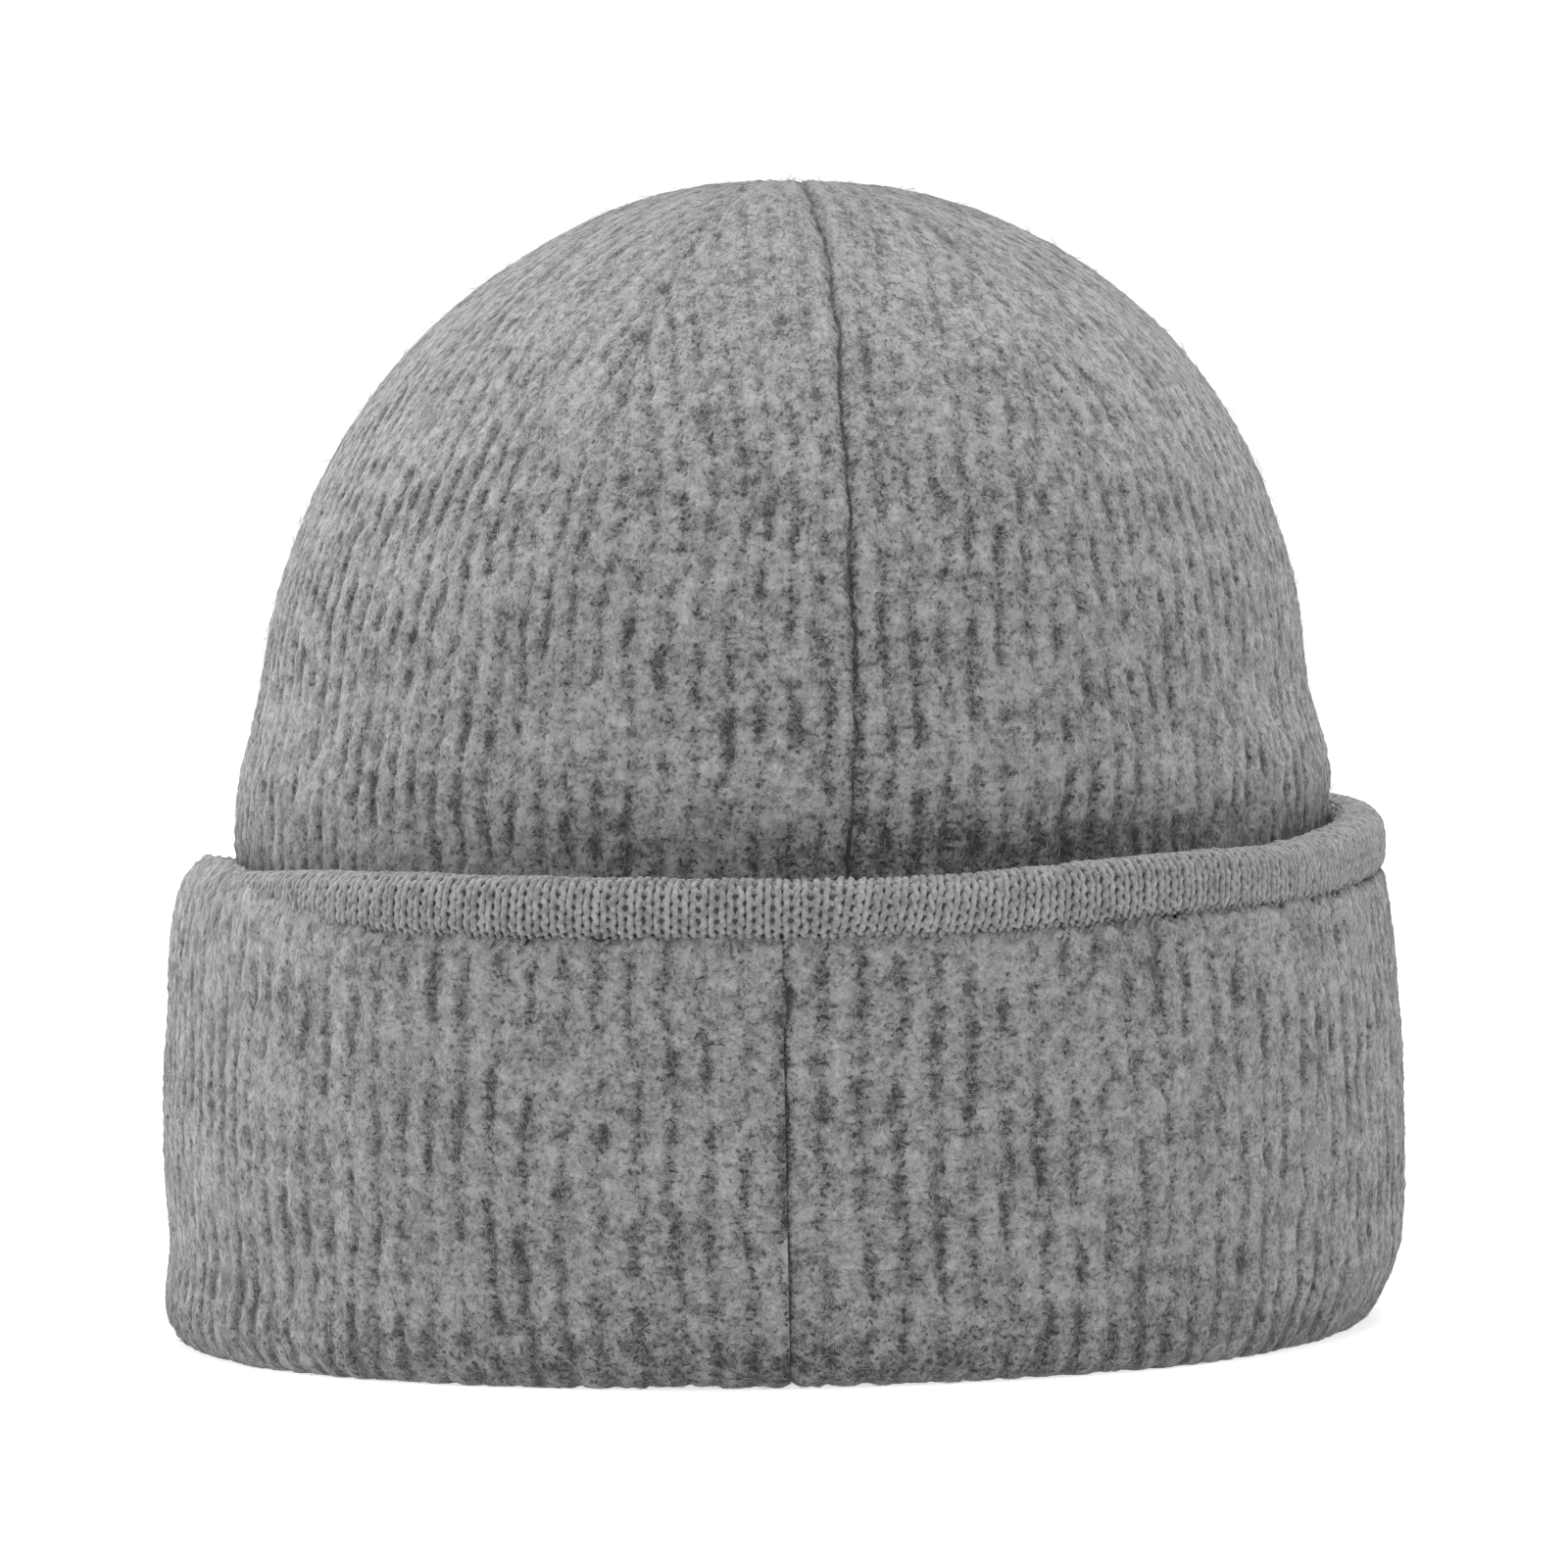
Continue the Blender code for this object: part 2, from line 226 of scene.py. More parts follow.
# The knit.
RIB_COUNT = 120
RIB_RELIEF = 0.46 * MM
RIB_STRENGTH = 0.62
RIB_WANDER = 0.16, 0.07  # in ribs, over long and short distances
GROOVE_WIDTH = 0.15  # in ribs
GROOVE_IN_HEIGHT, GROOVE_IN_SHADE = 0.55, 0.35  # the narrow groove's share of the height and of the painted groove shade; the rest is the wide hollow between ribs
LUMPS = 0.096 * MM, 0.096 * MM, 0.128 * MM  # height of the small, middle and large ones
CROWN_SEAM_DEPTH, CUFF_SEAM_DEPTH, DART_DEPTH = 0.8 * MM, 0.6 * MM, 0.40 * MM
GRID_STEP = 0.55 * MM
CROWN_INSET = 0.7 * MM  # the felt's middle level lies this far inside the CAD's face
CUFF_INSET = 0.9 * MM
TUCK, FLARE = 3.6 * MM, 1.5 * MM  # how far the crown draws in behind the cuff, and swells above it
PAINTED_HEM_SHADE, PAINTED_FOLD_SHADE = 0.75, 0.6  # painted shade: how much darker the knit is painted in the crevice behind the hem, and along the fold's bottom edge
DARKEST = 1.3
UPRIGHT = np.array([1, 1, 0.6])  # stretches a random field along the ribs


# ---------------------------------------------------------------- shared maths


def smooth(x, low, high):
    t = np.clip((x - low) / (high - low), 0.0, 1.0)
    return t * t * (3 - 2 * t)


def bell(x, width):
    """1 at 0, fading away on both sides over about this width."""
    return np.exp(-((x / width) ** 2))


def waves(seed, wavelength, count=28):
    """A smooth random field of about this wavelength in space, about 1 high, as a function of points."""
    rng = np.random.default_rng(seed)
    turn = rng.normal(size=(count, 3))
    turn /= np.linalg.norm(turn, axis=1)[:, None]
    turn *= (2 * math.pi / (wavelength * rng.uniform(0.7, 1.4, count)))[:, None]
    phase = rng.uniform(0, 2 * math.pi, count)

    def field(points):
        total = np.zeros(points.shape[:-1])
        for k in range(count):
            total += np.cos(points @ turn[k] + phase[k])
        return total * math.sqrt(2 / count) * 0.6

    return field


def unit(v):
    return v / np.maximum(np.linalg.norm(v, axis=-1, keepdims=True), 1e-12)


def grid_normals(points, flip=1.0):
    """Unit normals of a grid of points, whose rows go down the cloth and whose columns go to the right."""
    return flip * unit(np.cross(np.gradient(points, axis=0), np.gradient(points, axis=1)))


def lengths_along(line):
    """The length of a polyline from its start to each of its points."""
    return np.concatenate([[0.0], np.cumsum(np.linalg.norm(np.diff(line, axis=0), axis=1))])


def resample(line, step):
    """Points evenly spaced along a polyline, about a step apart, an odd number of them."""
    length = lengths_along(line)
    count = 2 * int(round(length[-1] / step / 2)) + 1
    at = np.linspace(0.0, length[-1], count)
    return np.stack([np.interp(at, length, line[:, k]) for k in range(line.shape[1])], axis=1), at


class OvalLength:
    """Arc length round the wall's oval as a share of its whole, and back to an angle."""

    def __init__(self, half_width, half_depth):
        self.angle = np.linspace(-2 * math.pi, 4 * math.pi, 6001)
        speed = np.hypot(half_width * np.cos(self.angle), half_depth * np.sin(self.angle))
        steps = (speed[1:] + speed[:-1]) / 2 * np.diff(self.angle)
        length = np.concatenate([[0.0], np.cumsum(steps)])
        length -= np.interp(0.0, self.angle, length)
        self.whole = np.interp(2 * math.pi, self.angle, length)
        self.length = length

    def share(self, angle):
        return np.interp(angle, self.angle, self.length) / self.whole

    def to_angle(self, share):
        return np.interp(share * self.whole, self.length, self.angle)


WALL_OVAL = OvalLength(WALL_HALF_WIDTH, WALL_HALF_DEPTH)


def round_wall(proud, angle, z):
    """Points this far outside the wall's oval, at these heights and angles from the middle of the back."""
    x, y = (WALL_HALF_WIDTH + proud) * np.sin(angle), -(WALL_HALF_DEPTH + proud) * np.cos(angle)
    return np.stack(np.broadcast_arrays(x, y, z), axis=-1)


# ---------------------------------------------------------------- surfaces


def crown_profile(arc):
    """Half width and height at an arc from the top, over the dome and then straight down the wall."""
    turn = np.minimum(arc, math.pi / 2)
    depth = DOME_HEIGHT * (1 - np.cos(turn)) + DOME_HEIGHT * (arc - turn)
    half_width = DOME_HALF_WIDTH * np.sin(turn) + WALL_TAPER * np.minimum(depth, CROWN_EXPOSED)
    return half_width, TOP - depth


wander_long = waves(11, 34 * MM)
wander_short = waves(12, 7 * MM)
rib_strength = waves(13, 3.0 * MM)
rib_patches = waves(14, 22 * MM)
lumps_small = waves(15, 1.9 * MM, 40)
lumps_middle = waves(16, 4.4 * MM)
lumps_large = waves(17, 16 * MM)
sag = waves(18, 75 * MM)
seam_wiggle = waves(21, 26 * MM)
seam_jog = waves(22, 8 * MM)
edge_wave = waves(30, 5 * MM)


def rib_height(place, strength):
    """Rounded ribs between narrow soft grooves: -1 in a groove, 0 on a rib. Also the painted shade in the groove."""
    groove = bell(np.abs(place - np.round(place)), GROOVE_WIDTH)
    hollow = 0.5 + 0.5 * np.cos(2 * math.pi * place)
    height = GROOVE_IN_HEIGHT * groove + (1 - GROOVE_IN_HEIGHT) * hollow
    # tone is painted shade, darkest in the groove and the hollow between ribs
    tone = GROOVE_IN_SHADE * groove + (1 - GROOVE_IN_SHADE) * hollow**1.5
    return -strength * height, strength * tone


def felt_relief(points, phase, fade):
    """Height of the knit above its ribs' crests: ribs, uneven grooves, and the lumps of felting. Also the painted
    shade in the grooves.
    """
    wander = RIB_WANDER[0] * wander_long(points) + RIB_WANDER[1] * wander_short(points)
    strength = RIB_STRENGTH + 0.50 * rib_strength(points * UPRIGHT) + 0.34 * rib_patches(points)
    ribs, groove = rib_height(phase + wander * fade, np.clip(strength, 0.10, 1.4) * fade)
    fields = (lumps_small, lumps_middle, lumps_large)
    lumps = sum(height * field(points) for height, field in zip(LUMPS, fields))
    return RIB_RELIEF * ribs + lumps, np.clip(1.15 * groove, 0, 1.1)


def seam_line(offset, depth, width=0.7 * MM, pucker=0.10 * MM):
    """A narrow groove where two edges are linked, with the cloth a little raised beside it."""
    return -depth * bell(offset, width) + pucker * bell(np.abs(offset) - 2.6 * width, width)


def crown_sides(half_width, z, t):
    """Half width and half depth of the crown: tucked in behind the cuff, and flared over it at the sides."""
    tuck = TUCK * bell(z - CUFF_TOP + 1 * MM, 6.5 * MM)[:, None] * np.cos(t) ** 2
    flare = FLARE * bell(z - CUFF_TOP - 7 * MM, 8 * MM)[:, None] * np.abs(np.sin(t)) ** 3
    change = flare * (0.8 + 0.3 * np.sin(t)) - tuck - CROWN_INSET
    return half_width[:, None] + change, half_width[:, None] * DEPTH_RATIO + change


def gore_phase(half_width, t, middle):
    """Ribs counted from the back seam. They stay parallel to the gore's middle, so its darts cut them off."""
    dart_arc = math.acos(1 - (TOP - DART_END) / DOME_HEIGHT)
    narrowing = half_width / crown_profile(np.array([dart_arc]))[0][0] + 0.02
    near = np.maximum(0.06 - np.abs(narrowing - 1), 0) / 0.06
    keep = (np.minimum(narrowing, 1) - 0.015 * near**2)[:, None]
    seam_share = WALL_OVAL.share(CROWN_SEAM_ANGLE)
    middle_phase = (WALL_OVAL.share(middle) - seam_share) * RIB_COUNT
    phase = (WALL_OVAL.share(t) - seam_share) * RIB_COUNT
    return middle_phase + (phase - middle_phase) * keep


def crown_seams(base, z, t, middle, speed):
    """Relief and darkness of the back seam and the gore's two darts, and the distance from the back seam."""
    radius = np.hypot(base[..., 0], base[..., 1])
    to_cuff = smooth(-z, -CUFF_TOP + 4 * MM, -FOLD_TOP)[:, None]
    seam_angle = CROWN_SEAM_ANGLE + (CUFF_SEAM_ANGLE - CROWN_SEAM_ANGLE) * to_cuff
    wiggle = 0.55 * MM * seam_wiggle(base) + 0.22 * MM * seam_jog(base)
    from_seam = (t - seam_angle) * speed + wiggle * smooth(radius, 10 * MM, 30 * MM)
    relief, dark = seam_line(from_seam, CROWN_SEAM_DEPTH), 0.35 * bell(from_seam, 0.9 * MM)
    reach = smooth(z, DART_END - 6 * MM, DART_END + 12 * MM) * smooth(TOP - z, 0.2 * MM, 3 * MM)
    for side in (-1, 1):
        offset = (t - middle - side * GORE_ANGLE / 2) * speed
        relief = relief + seam_line(offset, DART_DEPTH, width=0.9 * MM) * reach[:, None]
        dark = dark + 0.25 * bell(offset, 0.9 * MM) * reach[:, None]
    return relief, dark, from_seam


def crown_swell(base, z, t):
    """The crown's broad shape: gathers round the closing stitches, sags, a flat spot and full shoulders."""
    x, y = base[..., 0], base[..., 1]
    gather = bell(np.hypot(x, y), 9 * MM) * (-1.6 * MM + 0.5 * MM * np.cos(18 * t))
    sags = 0.5 * MM * sag(base) * smooth(z[:, None], CUFF_TOP + 4 * MM, CUFF_TOP + 40 * MM)
    flat_spot = 1.1 * MM * bell(np.hypot(x - 12 * MM, y), 24 * MM)
    shoulder = smooth(z[:, None], TOP - 55 * MM, TOP - 20 * MM)
    shoulder = shoulder * (0.8 * MM + 0.5 * MM * smooth(x, 10 * MM, 50 * MM))
    return gather + sags - flat_spot + shoulder


def crown_field(rows, angles, gore):
    """Crown, wall and band over these profile rows and angles, with the ribs of one gore.

    Gives the outer face, the inner face, how dark the knit is (painted shade in the grooves and behind the hem, and
    the dark seams) and how far it is from the back seam.
    """
    half_width, z = crown_profile(rows)
    t = angles[None, :]
    a, b = crown_sides(half_width, z, t)
    base = np.stack(np.broadcast_arrays(a * np.sin(t), -b * np.cos(t), z[:, None]), axis=-1)
    normals = grid_normals(base)
    middle = CROWN_SEAM_ANGLE + gore * GORE_ANGLE
    phase = gore_phase(half_width, t, middle)
    fade = smooth(np.hypot(base[..., 0], base[..., 1]), 3 * MM, 13 * MM)
    relief, groove = felt_relief(base, phase, fade)
    softer = (1 - 0.4 * smooth(z, TOP - 60 * MM, TOP - 20 * MM))[:, None]
    speed = np.hypot(a * np.cos(t), b * np.sin(t))
    seam, seam_dark, from_seam = crown_seams(base, z, t, middle, speed)
    raised = relief * softer + seam + crown_swell(base, z, t) + 0.25 * MM
    surface = base + normals * raised[..., None]
    inner_relief = 0.18 * MM * np.cos(2 * math.pi * phase) * fade + 0.08 * MM * lumps_middle(base)
    inner = base - normals * (KNIT - CROWN_INSET - 0.2 * MM + inner_relief)[..., None]
    for points in (surface, inner):
        points[..., 0] += CROWN_LEAN * np.maximum(points[..., 2] - CUFF_TOP, 0)
    # painted shade on the crown in the crevice just above the hem, deepest at the back
    painted_hem_shade = PAINTED_HEM_SHADE * bell(z - CUFF_TOP + 1 * MM, 4 * MM)[:, None] * np.cos(t - 0.4) ** 4
    return surface, inner, np.clip(groove * softer + seam_dark + painted_hem_shade, 0, DARKEST), from_seam


def fold_contour(half_width, bottom, count):
    """The fold in section, as points (proud, height): two quarter ovals with a flat between them."""
    middle = (CUFF_PROUD_LOW - KNIT) / 2
    points = []
    for side, first in ((1, 0.0), (-1, math.pi / 2)):
        for turn in np.linspace(first, first + math.pi / 2, count):
            proud = middle + side * FOLD_FLAT + (half_width - FOLD_FLAT) * math.cos(turn)
            points.append((proud, FOLD_TOP - (FOLD_TOP - bottom) * math.sin(turn)))
    return points


def cuff_contour():
    """The cuff's outer face in section, from under the hem, round the fold, to the band's lower edge."""
    points = []
    for z in np.linspace(EDGE_TOP, FOLD_TOP, 80):
        share = (z - FOLD_TOP) / (PANEL_TOP - FOLD_TOP)
        line = CUFF_PROUD_LOW + (CUFF_PROUD_TOP - CUFF_PROUD_LOW) * share
        bulge = CUFF_PROUD_MIDDLE - (CUFF_PROUD_LOW + CUFF_PROUD_TOP) / 2
        roll = 1.2 * MM * bell(z - EDGE_TOP, 0.9 * MM)
        points.append((line + bulge * 4 * share * (1 - share) - roll, z))
    points += fold_contour((CUFF_PROUD_LOW + KNIT) / 2, 0.0, 40)[1:]
    return np.array(points)


def rim_lift(x, y):
    """How far the cuff's rim is lifted here: it is higher in front, but dips at the left front."""
    away = np.arctan2(x, -y) - HEM_DIP_ANGLE
    away = np.mod(away + math.pi, 2 * math.pi) - math.pi
    return HEM_TILT * y / WALL_HALF_DEPTH - HEM_DIP * bell(away, HEM_DIP_SPREAD)


def cuff_lift(points):
    """The part of the rim's lift that a point of the cuff takes, more the higher it is."""
    share = np.clip((points[..., 2] - FOLD_TOP) / (PANEL_TOP - FOLD_TOP), 0, 1)
    return share * rim_lift(points[..., 0], points[..., 1])


COVER_HEIGHT = 6.9 * MM
COVER_MIDDLE = 265  # degrees


def hem_cover(angle):
    """Where the felt climbs over the trim, at the left of the hat: 1 where it hides the trim completely."""
    away = np.mod(np.degrees(angle) - COVER_MIDDLE + 180, 360) - 180
    near_side, far_side = smooth(-away, -60.0, -21.0), smooth(away, -38.0, -12.0)
    return np.where(away > 0, near_side, far_side)


def cover_hem(base, z, t):
    """Takes the cuff's top edge up and over the trim, where the felt hides it."""
    rise = smooth(z, PANEL_TOP - 14 * MM, EDGE_TOP)
    covered = (hem_cover(t) * smooth(z, PANEL_TOP - 20 * MM, PANEL_TOP - 8 * MM))[..., None]
    below = (EDGE_TOP - z) + COVER_HEIGHT * (1 - rise)
    drawn_in = 3.2 * MM * np.exp(-below / (9 * MM)) + 3.0 * MM * np.exp(-below / (1.8 * MM))
    proud = CUFF_PROUD_LOW - CUFF_INSET - drawn_in
    base[..., :2] = base[..., :2] * (1 - covered) + round_wall(proud, t, z)[..., :2] * covered
    base[..., 2] += COVER_HEIGHT * hem_cover(t) * rise


def fold_squaring(z, t):
    """How far the fold's outer face stands out from a quarter oval: it is squarer at the hat's sides."""
    fall = np.clip(1 - z / FOLD_TOP, 0, 1)
    power = 2 + 1.2 * smooth(np.abs(np.sin(t)), 0.2, 0.8)
    half = (CUFF_PROUD_LOW + KNIT) / 2 - FOLD_FLAT
    return half * ((1 - fall**power) ** (1 / power) - np.sqrt(1 - fall**2))


def cuff_corners(z, t):
    """How far the cuff's lower corner stands out at the hat's left, and draws in at its right."""
    left, right = smooth(-np.sin(t), 0.45, 0.9), smooth(np.sin(t), 0.6, 1.0)
    return 1.7 * MM * left * bell(z - 3.5 * MM, 6 * MM) - 3.2 * MM * right * (1 - smooth(z, 0.0, 13 * MM))


def cuff_field(line, angles):
    """Cuff and fold over these section points and angles. Gives what crown_field gives."""
    t = angles[None, :]
    proud, z = line[:, 0][:, None], line[:, 1][:, None]
    outside = smooth(proud, 1 * MM, 6 * MM)
    proud_here = proud + (cuff_corners(z, t) - CUFF_INSET) * outside
    proud_here = proud_here + fold_squaring(z, t) * (proud > (CUFF_PROUD_LOW - KNIT) / 2)
    base = round_wall(proud_here, t, z)
    back = np.mod(t + math.pi, 2 * math.pi) - math.pi
    base[..., 2] += 0.5 * MM * bell(back, 0.6) * np.clip(1 - z / FOLD_TOP, 0, 1)
    cover_hem(base, z, t)
    normals = grid_normals(base)
    phase = (WALL_OVAL.share(t) - WALL_OVAL.share(CUFF_SEAM_ANGLE)) * RIB_COUNT
    edge = smooth(EDGE_TOP - z, 0.0, 7 * MM)
    relief, groove = felt_relief(base, np.broadcast_to(phase, base.shape[:2]), 0.35 + 0.65 * edge)
    wiggle = 0.5 * MM * seam_wiggle(base) + 0.2 * MM * seam_jog(base)
    speed = np.hypot((WALL_HALF_WIDTH + proud_here) * np.cos(t), (WALL_HALF_DEPTH + proud_here) * np.sin(t))
    from_seam = (t - CUFF_SEAM_ANGLE) * speed + wiggle
    seam = seam_line(from_seam, CUFF_SEAM_DEPTH) * (0.3 + 0.7 * edge)
    seam_dark = 0.3 * bell(from_seam, 0.8 * MM) * edge
    body = 0.3 * MM * sag(base * UPRIGHT) * outside * smooth(z, 2 * MM, 25 * MM)
    surface = base + normals * (relief + seam + body + 0.2 * MM)[..., None]
    ragged = 0.45 * MM * edge_wave(base) + 0.25 * MM * lumps_small(base)
    surface[..., 2] += smooth(z, PANEL_TOP - 3 * MM, EDGE_TOP) * ragged * (1 - 0.8 * hem_cover(t))
    inner = base - normals * (KNIT - 0.4 * MM)
    for points in (surface, inner):
        points[..., 2] += cuff_lift(points)
        points[..., 2] = np.maximum(points[..., 2], 0.05 * MM)
    # painted shade along the fold's bottom edge, darker towards the floor
    painted_fold_shade = PAINTED_FOLD_SHADE * bell(z, 8 * MM) * outside
    dark = np.clip(groove + seam_dark + painted_fold_shade, 0, DARKEST)
    return surface, inner, dark, from_seam + 5 * MM * (1 - edge)


# ---------------------------------------------------------------- meshes


def mesh_object(name, vertices, faces, normals=None, attributes=None, material=None):
    mesh = bpy.data.meshes.new(name)
    mesh.from_pydata(vertices.tolist(), [], faces)
    mesh.shade_smooth()
    for label, (kind, values) in (attributes or {}).items():
        field = "vector" if kind == "FLOAT_VECTOR" else "value"
        mesh.attributes.new(label, kind, "POINT").data.foreach_set(field, values.astype(np.float32).ravel())
    if normals is not None:
        mesh.normals_split_custom_set_from_vertices(normals.tolist())
    if material is not None:
        mesh.materials.append(material)
    made = bpy.data.objects.new(name, mesh)
    bpy.context.scene.collection.objects.link(made)
    return made


def grid_faces(rows, columns, first=0, flip=False):
    index = first + np.arange(rows * columns).reshape(rows, columns)
    corners = [index[:-1, :-1], index[1:, :-1], index[1:, 1:], index[:-1, 1:]]
    if flip:
        corners.reverse()
    return np.stack([c.ravel() for c in corners], axis=1).tolist()


def rim_faces(fine, coarse):
    """Joins an edge of the outer face to the same edge of the inner face, which has half as many points."""
    faces = []
    for k in range(len(coarse) - 1):
        a, b, c = fine[2 * k : 2 * k + 3]
        p, q = coarse[k : k + 2]
        faces += [(a, p, b), (b, p, q), (b, q, c)]
    return faces


INSIDE_GROOVE = 0.35  # how dark the inner face is, against 0 on a rib and 1 in a groove
NO_SEAM = 9.0  # a distance in mm at which no seam line shows


def knit_shell(name, field, at, along, material):
    """A closed sheet of knit: a fine outer face and an inner face with half its points in each direction."""
    surface, inner, dark, from_seam = field
    normals, inner_normals = grid_normals(surface)[:, 1:-1], grid_normals(inner, -1.0)[::2, 1:-1:2]
    surface, dark, from_seam = surface[:, 1:-1], dark[:, 1:-1], from_seam[:, 1:-1]
    inner = inner[::2, 1:-1:2]
    rows, columns = surface.shape[:2]
    inner_rows, inner_columns = inner.shape[:2]
    first, inner_count = rows * columns, inner_rows * inner_columns
    faces = grid_faces(rows, columns) + grid_faces(inner_rows, inner_columns, first, flip=True)
    outer_index = np.arange(first).reshape(rows, columns)
    inner_index = first + np.arange(inner_count).reshape(inner_rows, inner_columns)
    for edge, turned in ((np.s_[0], True), (np.s_[-1], False), (np.s_[:, 0], False), (np.s_[:, -1], True)):
        fine, coarse = outer_index[edge], inner_index[edge]
        faces += rim_faces(fine[::-1], coarse[::-1]) if turned else rim_faces(fine, coarse)
    place = np.zeros((rows, columns, 3))
    place[..., 0], place[..., 1] = at[None, 1:-1], along[:, None]
    places = np.concatenate([place.reshape(-1, 3), place[::2, ::2].reshape(-1, 3)])
    attributes = {
        "knit_place": ("FLOAT_VECTOR", places),
        # painted shade in the grooves, behind the hem and on the fold's bottom, with the dark seams, for the felt's
        # colour
        "groove": ("FLOAT", np.concatenate([dark.ravel(), np.full(inner_count, INSIDE_GROOVE)])),
        "from_seam": ("FLOAT", np.concatenate([from_seam.ravel() / MM, np.full(inner_count, NO_SEAM)])),
    }
    vertices = np.concatenate([surface.reshape(-1, 3), inner.reshape(-1, 3)])
    normals = np.concatenate([normals.reshape(-1, 3), inner_normals.reshape(-1, 3)])
    return mesh_object(name, vertices, faces, normals, attributes, material)


def tube_mesh(paths, ups, radius, sides, closed):
    """Vertices and faces of round tubes. paths and ups have the shape (tubes, points, 3)."""
    tubes, count = paths.shape[:2]
    if closed:
        along = np.roll(paths, -1, axis=1) - np.roll(paths, 1, axis=1)
    else:
        along = np.gradient(paths, axis=1)
    along = unit(along)
    across = unit(np.cross(along, ups))
    up = np.cross(across, along)
    turn = np.linspace(0, 2 * math.pi, sides, endpoint=False)
    reach = np.broadcast_to(radius, (tubes, count))[..., None, None]
    ring = across[:, :, None, :] * np.cos(turn)[:, None] + up[:, :, None, :] * np.sin(turn)[:, None]
    points = paths[:, :, None, :] + ring * reach
    index = np.arange(tubes * count * sides).reshape(tubes, count, sides)
    start, end = (index, np.roll(index, -1, axis=1)) if closed else (index[:, :-1], index[:, 1:])
    quads = np.stack([start, np.roll(start, -1, axis=2), np.roll(end, -1, axis=2), end], axis=-1)
    faces = quads.reshape(-1, 4).tolist()
    if not closed:
        faces += index[:, 0, ::-1].tolist() + index[:, -1].tolist()
    return points.reshape(-1, 3), faces


def strand_mesh(paths, ups, radius):
    """Thin three-sided strands with pointed ends. paths and ups have the shape (strands, points, 3)."""
    strands, count = paths.shape[:2]
    along = unit(np.gradient(paths, axis=1))
    across = unit(np.cross(along, ups))
    up = np.cross(across, along)
    middle = slice(1, count - 1)
    turn = np.array([0.0, 2.0, 4.0]) * math.pi / 3
    ring = across[:, middle, None, :] * np.cos(turn)[:, None] + up[:, middle, None, :] * np.sin(turn)[:, None]
    body = paths[:, middle, None, :] + ring * radius[:, None, None, None]
    inner = count - 2
    vertices = np.concatenate([paths[:, :1], body.reshape(strands, inner * 3, 3), paths[:, -1:]], axis=1)
    own = []
    for k in range(3):
        n = (k + 1) % 3
        own.append((0, 1 + n, 1 + k))
        own.append((inner * 3 + 1, (inner - 1) * 3 + 1 + k, (inner - 1) * 3 + 1 + n))
        for row in range(inner - 1):
            p, q = 1 + 3 * row, 4 + 3 * row
            own += [(p + k, p + n, q + n), (p + k, q + n, q + k)]
    own = np.array(own)
    faces = own[None] + (np.arange(strands) * (inner * 3 + 2))[:, None, None]
    return vertices.reshape(-1, 3), faces.reshape(-1, 3).tolist()


# ---------------------------------------------------------------- materials


SPECULAR = 0.15


def new_material(name, colour, roughness=0.95, sheen=0.0, sheen_roughness=0.5):
    """A plain matt material and its shader node."""
    material = bpy.data.materials.new(name)
    material.use_nodes = True
    shader = material.node_tree.nodes["Principled BSDF"]
    shader.inputs["Base Color"].default_value = (*colour, 1.0)
    shader.inputs["Roughness"].default_value = roughness
    shader.inputs["Specular IOR Level"].default_value = SPECULAR
    shader.inputs["Sheen Weight"].default_value = sheen
    shader.inputs["Sheen Roughness"].default_value = sheen_roughness
    shader.inputs["Sheen Tint"].default_value = (1, 1, 1, 1)
    return material, shader


class Nodes:
    """Short ways to add the nodes that the materials here use."""

    def __init__(self, material):
        self.tree = material.node_tree

    def add(self, kind, **settings):
        node = self.tree.nodes.new(kind)
        for key, value in settings.items():
            setattr(node, key, value)
        return node

    def link(self, output, socket):
        self.tree.links.new(output, socket)

    def attribute(self, name):
        return self.add("ShaderNodeAttribute", attribute_name=name)

    def mapping(self, vector, scale):
        node = self.add("ShaderNodeMapping")
        node.inputs["Scale"].default_value = scale
        self.link(vector, node.inputs["Vector"])
        return node.outputs["Vector"]

    def noise(self, vector, scale, detail=2.0, roughness=0.55, distortion=0.0):
        node = self.add("ShaderNodeTexNoise")
        node.inputs["Scale"].default_value = scale
        node.inputs["Detail"].default_value = detail
        node.inputs["Roughness"].default_value = roughness
        node.inputs["Distortion"].default_value = distortion
        self.link(vector, node.inputs["Vector"])
        return node.outputs["Fac"]

    def math(self, operation, first, second=None, clamp=False):
        node = self.add("ShaderNodeMath", operation=operation, use_clamp=clamp)
        for socket, value in zip(node.inputs, (first, second)):
            if value is None:
                continue
            if isinstance(value, (int, float)):
                socket.default_value = value
            else:
                self.link(value, socket)
        return node.outputs[0]

    def weigh(self, *pairs):
        """The sum of these outputs, each times its weight."""
        total = self.math("MULTIPLY", *pairs[0])
        for output, weight in pairs[1:]:
            total = self.math("ADD", total, self.math("MULTIPLY", output, weight))
        return total

    def ramp(self, value, stops):
        """Greys, very slightly bluish, at these places."""
        node = self.add("ShaderNodeValToRGB")
        elements = node.color_ramp.elements
        while len(elements) < len(stops):
            elements.new(0.5)
        for element, (place, grey) in zip(elements, stops):
            element.position = place
            element.color = (grey, grey, grey * 1.012, 1.0)
        self.link(value, node.inputs["Fac"])
        return node.outputs["Color"]

    def bump(self, height, distance):
        node = self.add("ShaderNodeBump")
        node.inputs["Distance"].default_value = distance
        self.link(height, node.inputs["Height"])
        return node.outputs["Normal"]


FELT_TONE = 0.85
FELT_STOPS = ((0.10, 0.035), (0.28, 0.085), (0.40, 0.152), (0.52, 0.225), (0.64, 0.275), (0.80, 0.335))
PER_MM = (1 / MM, 1 / MM, 1 / MM)


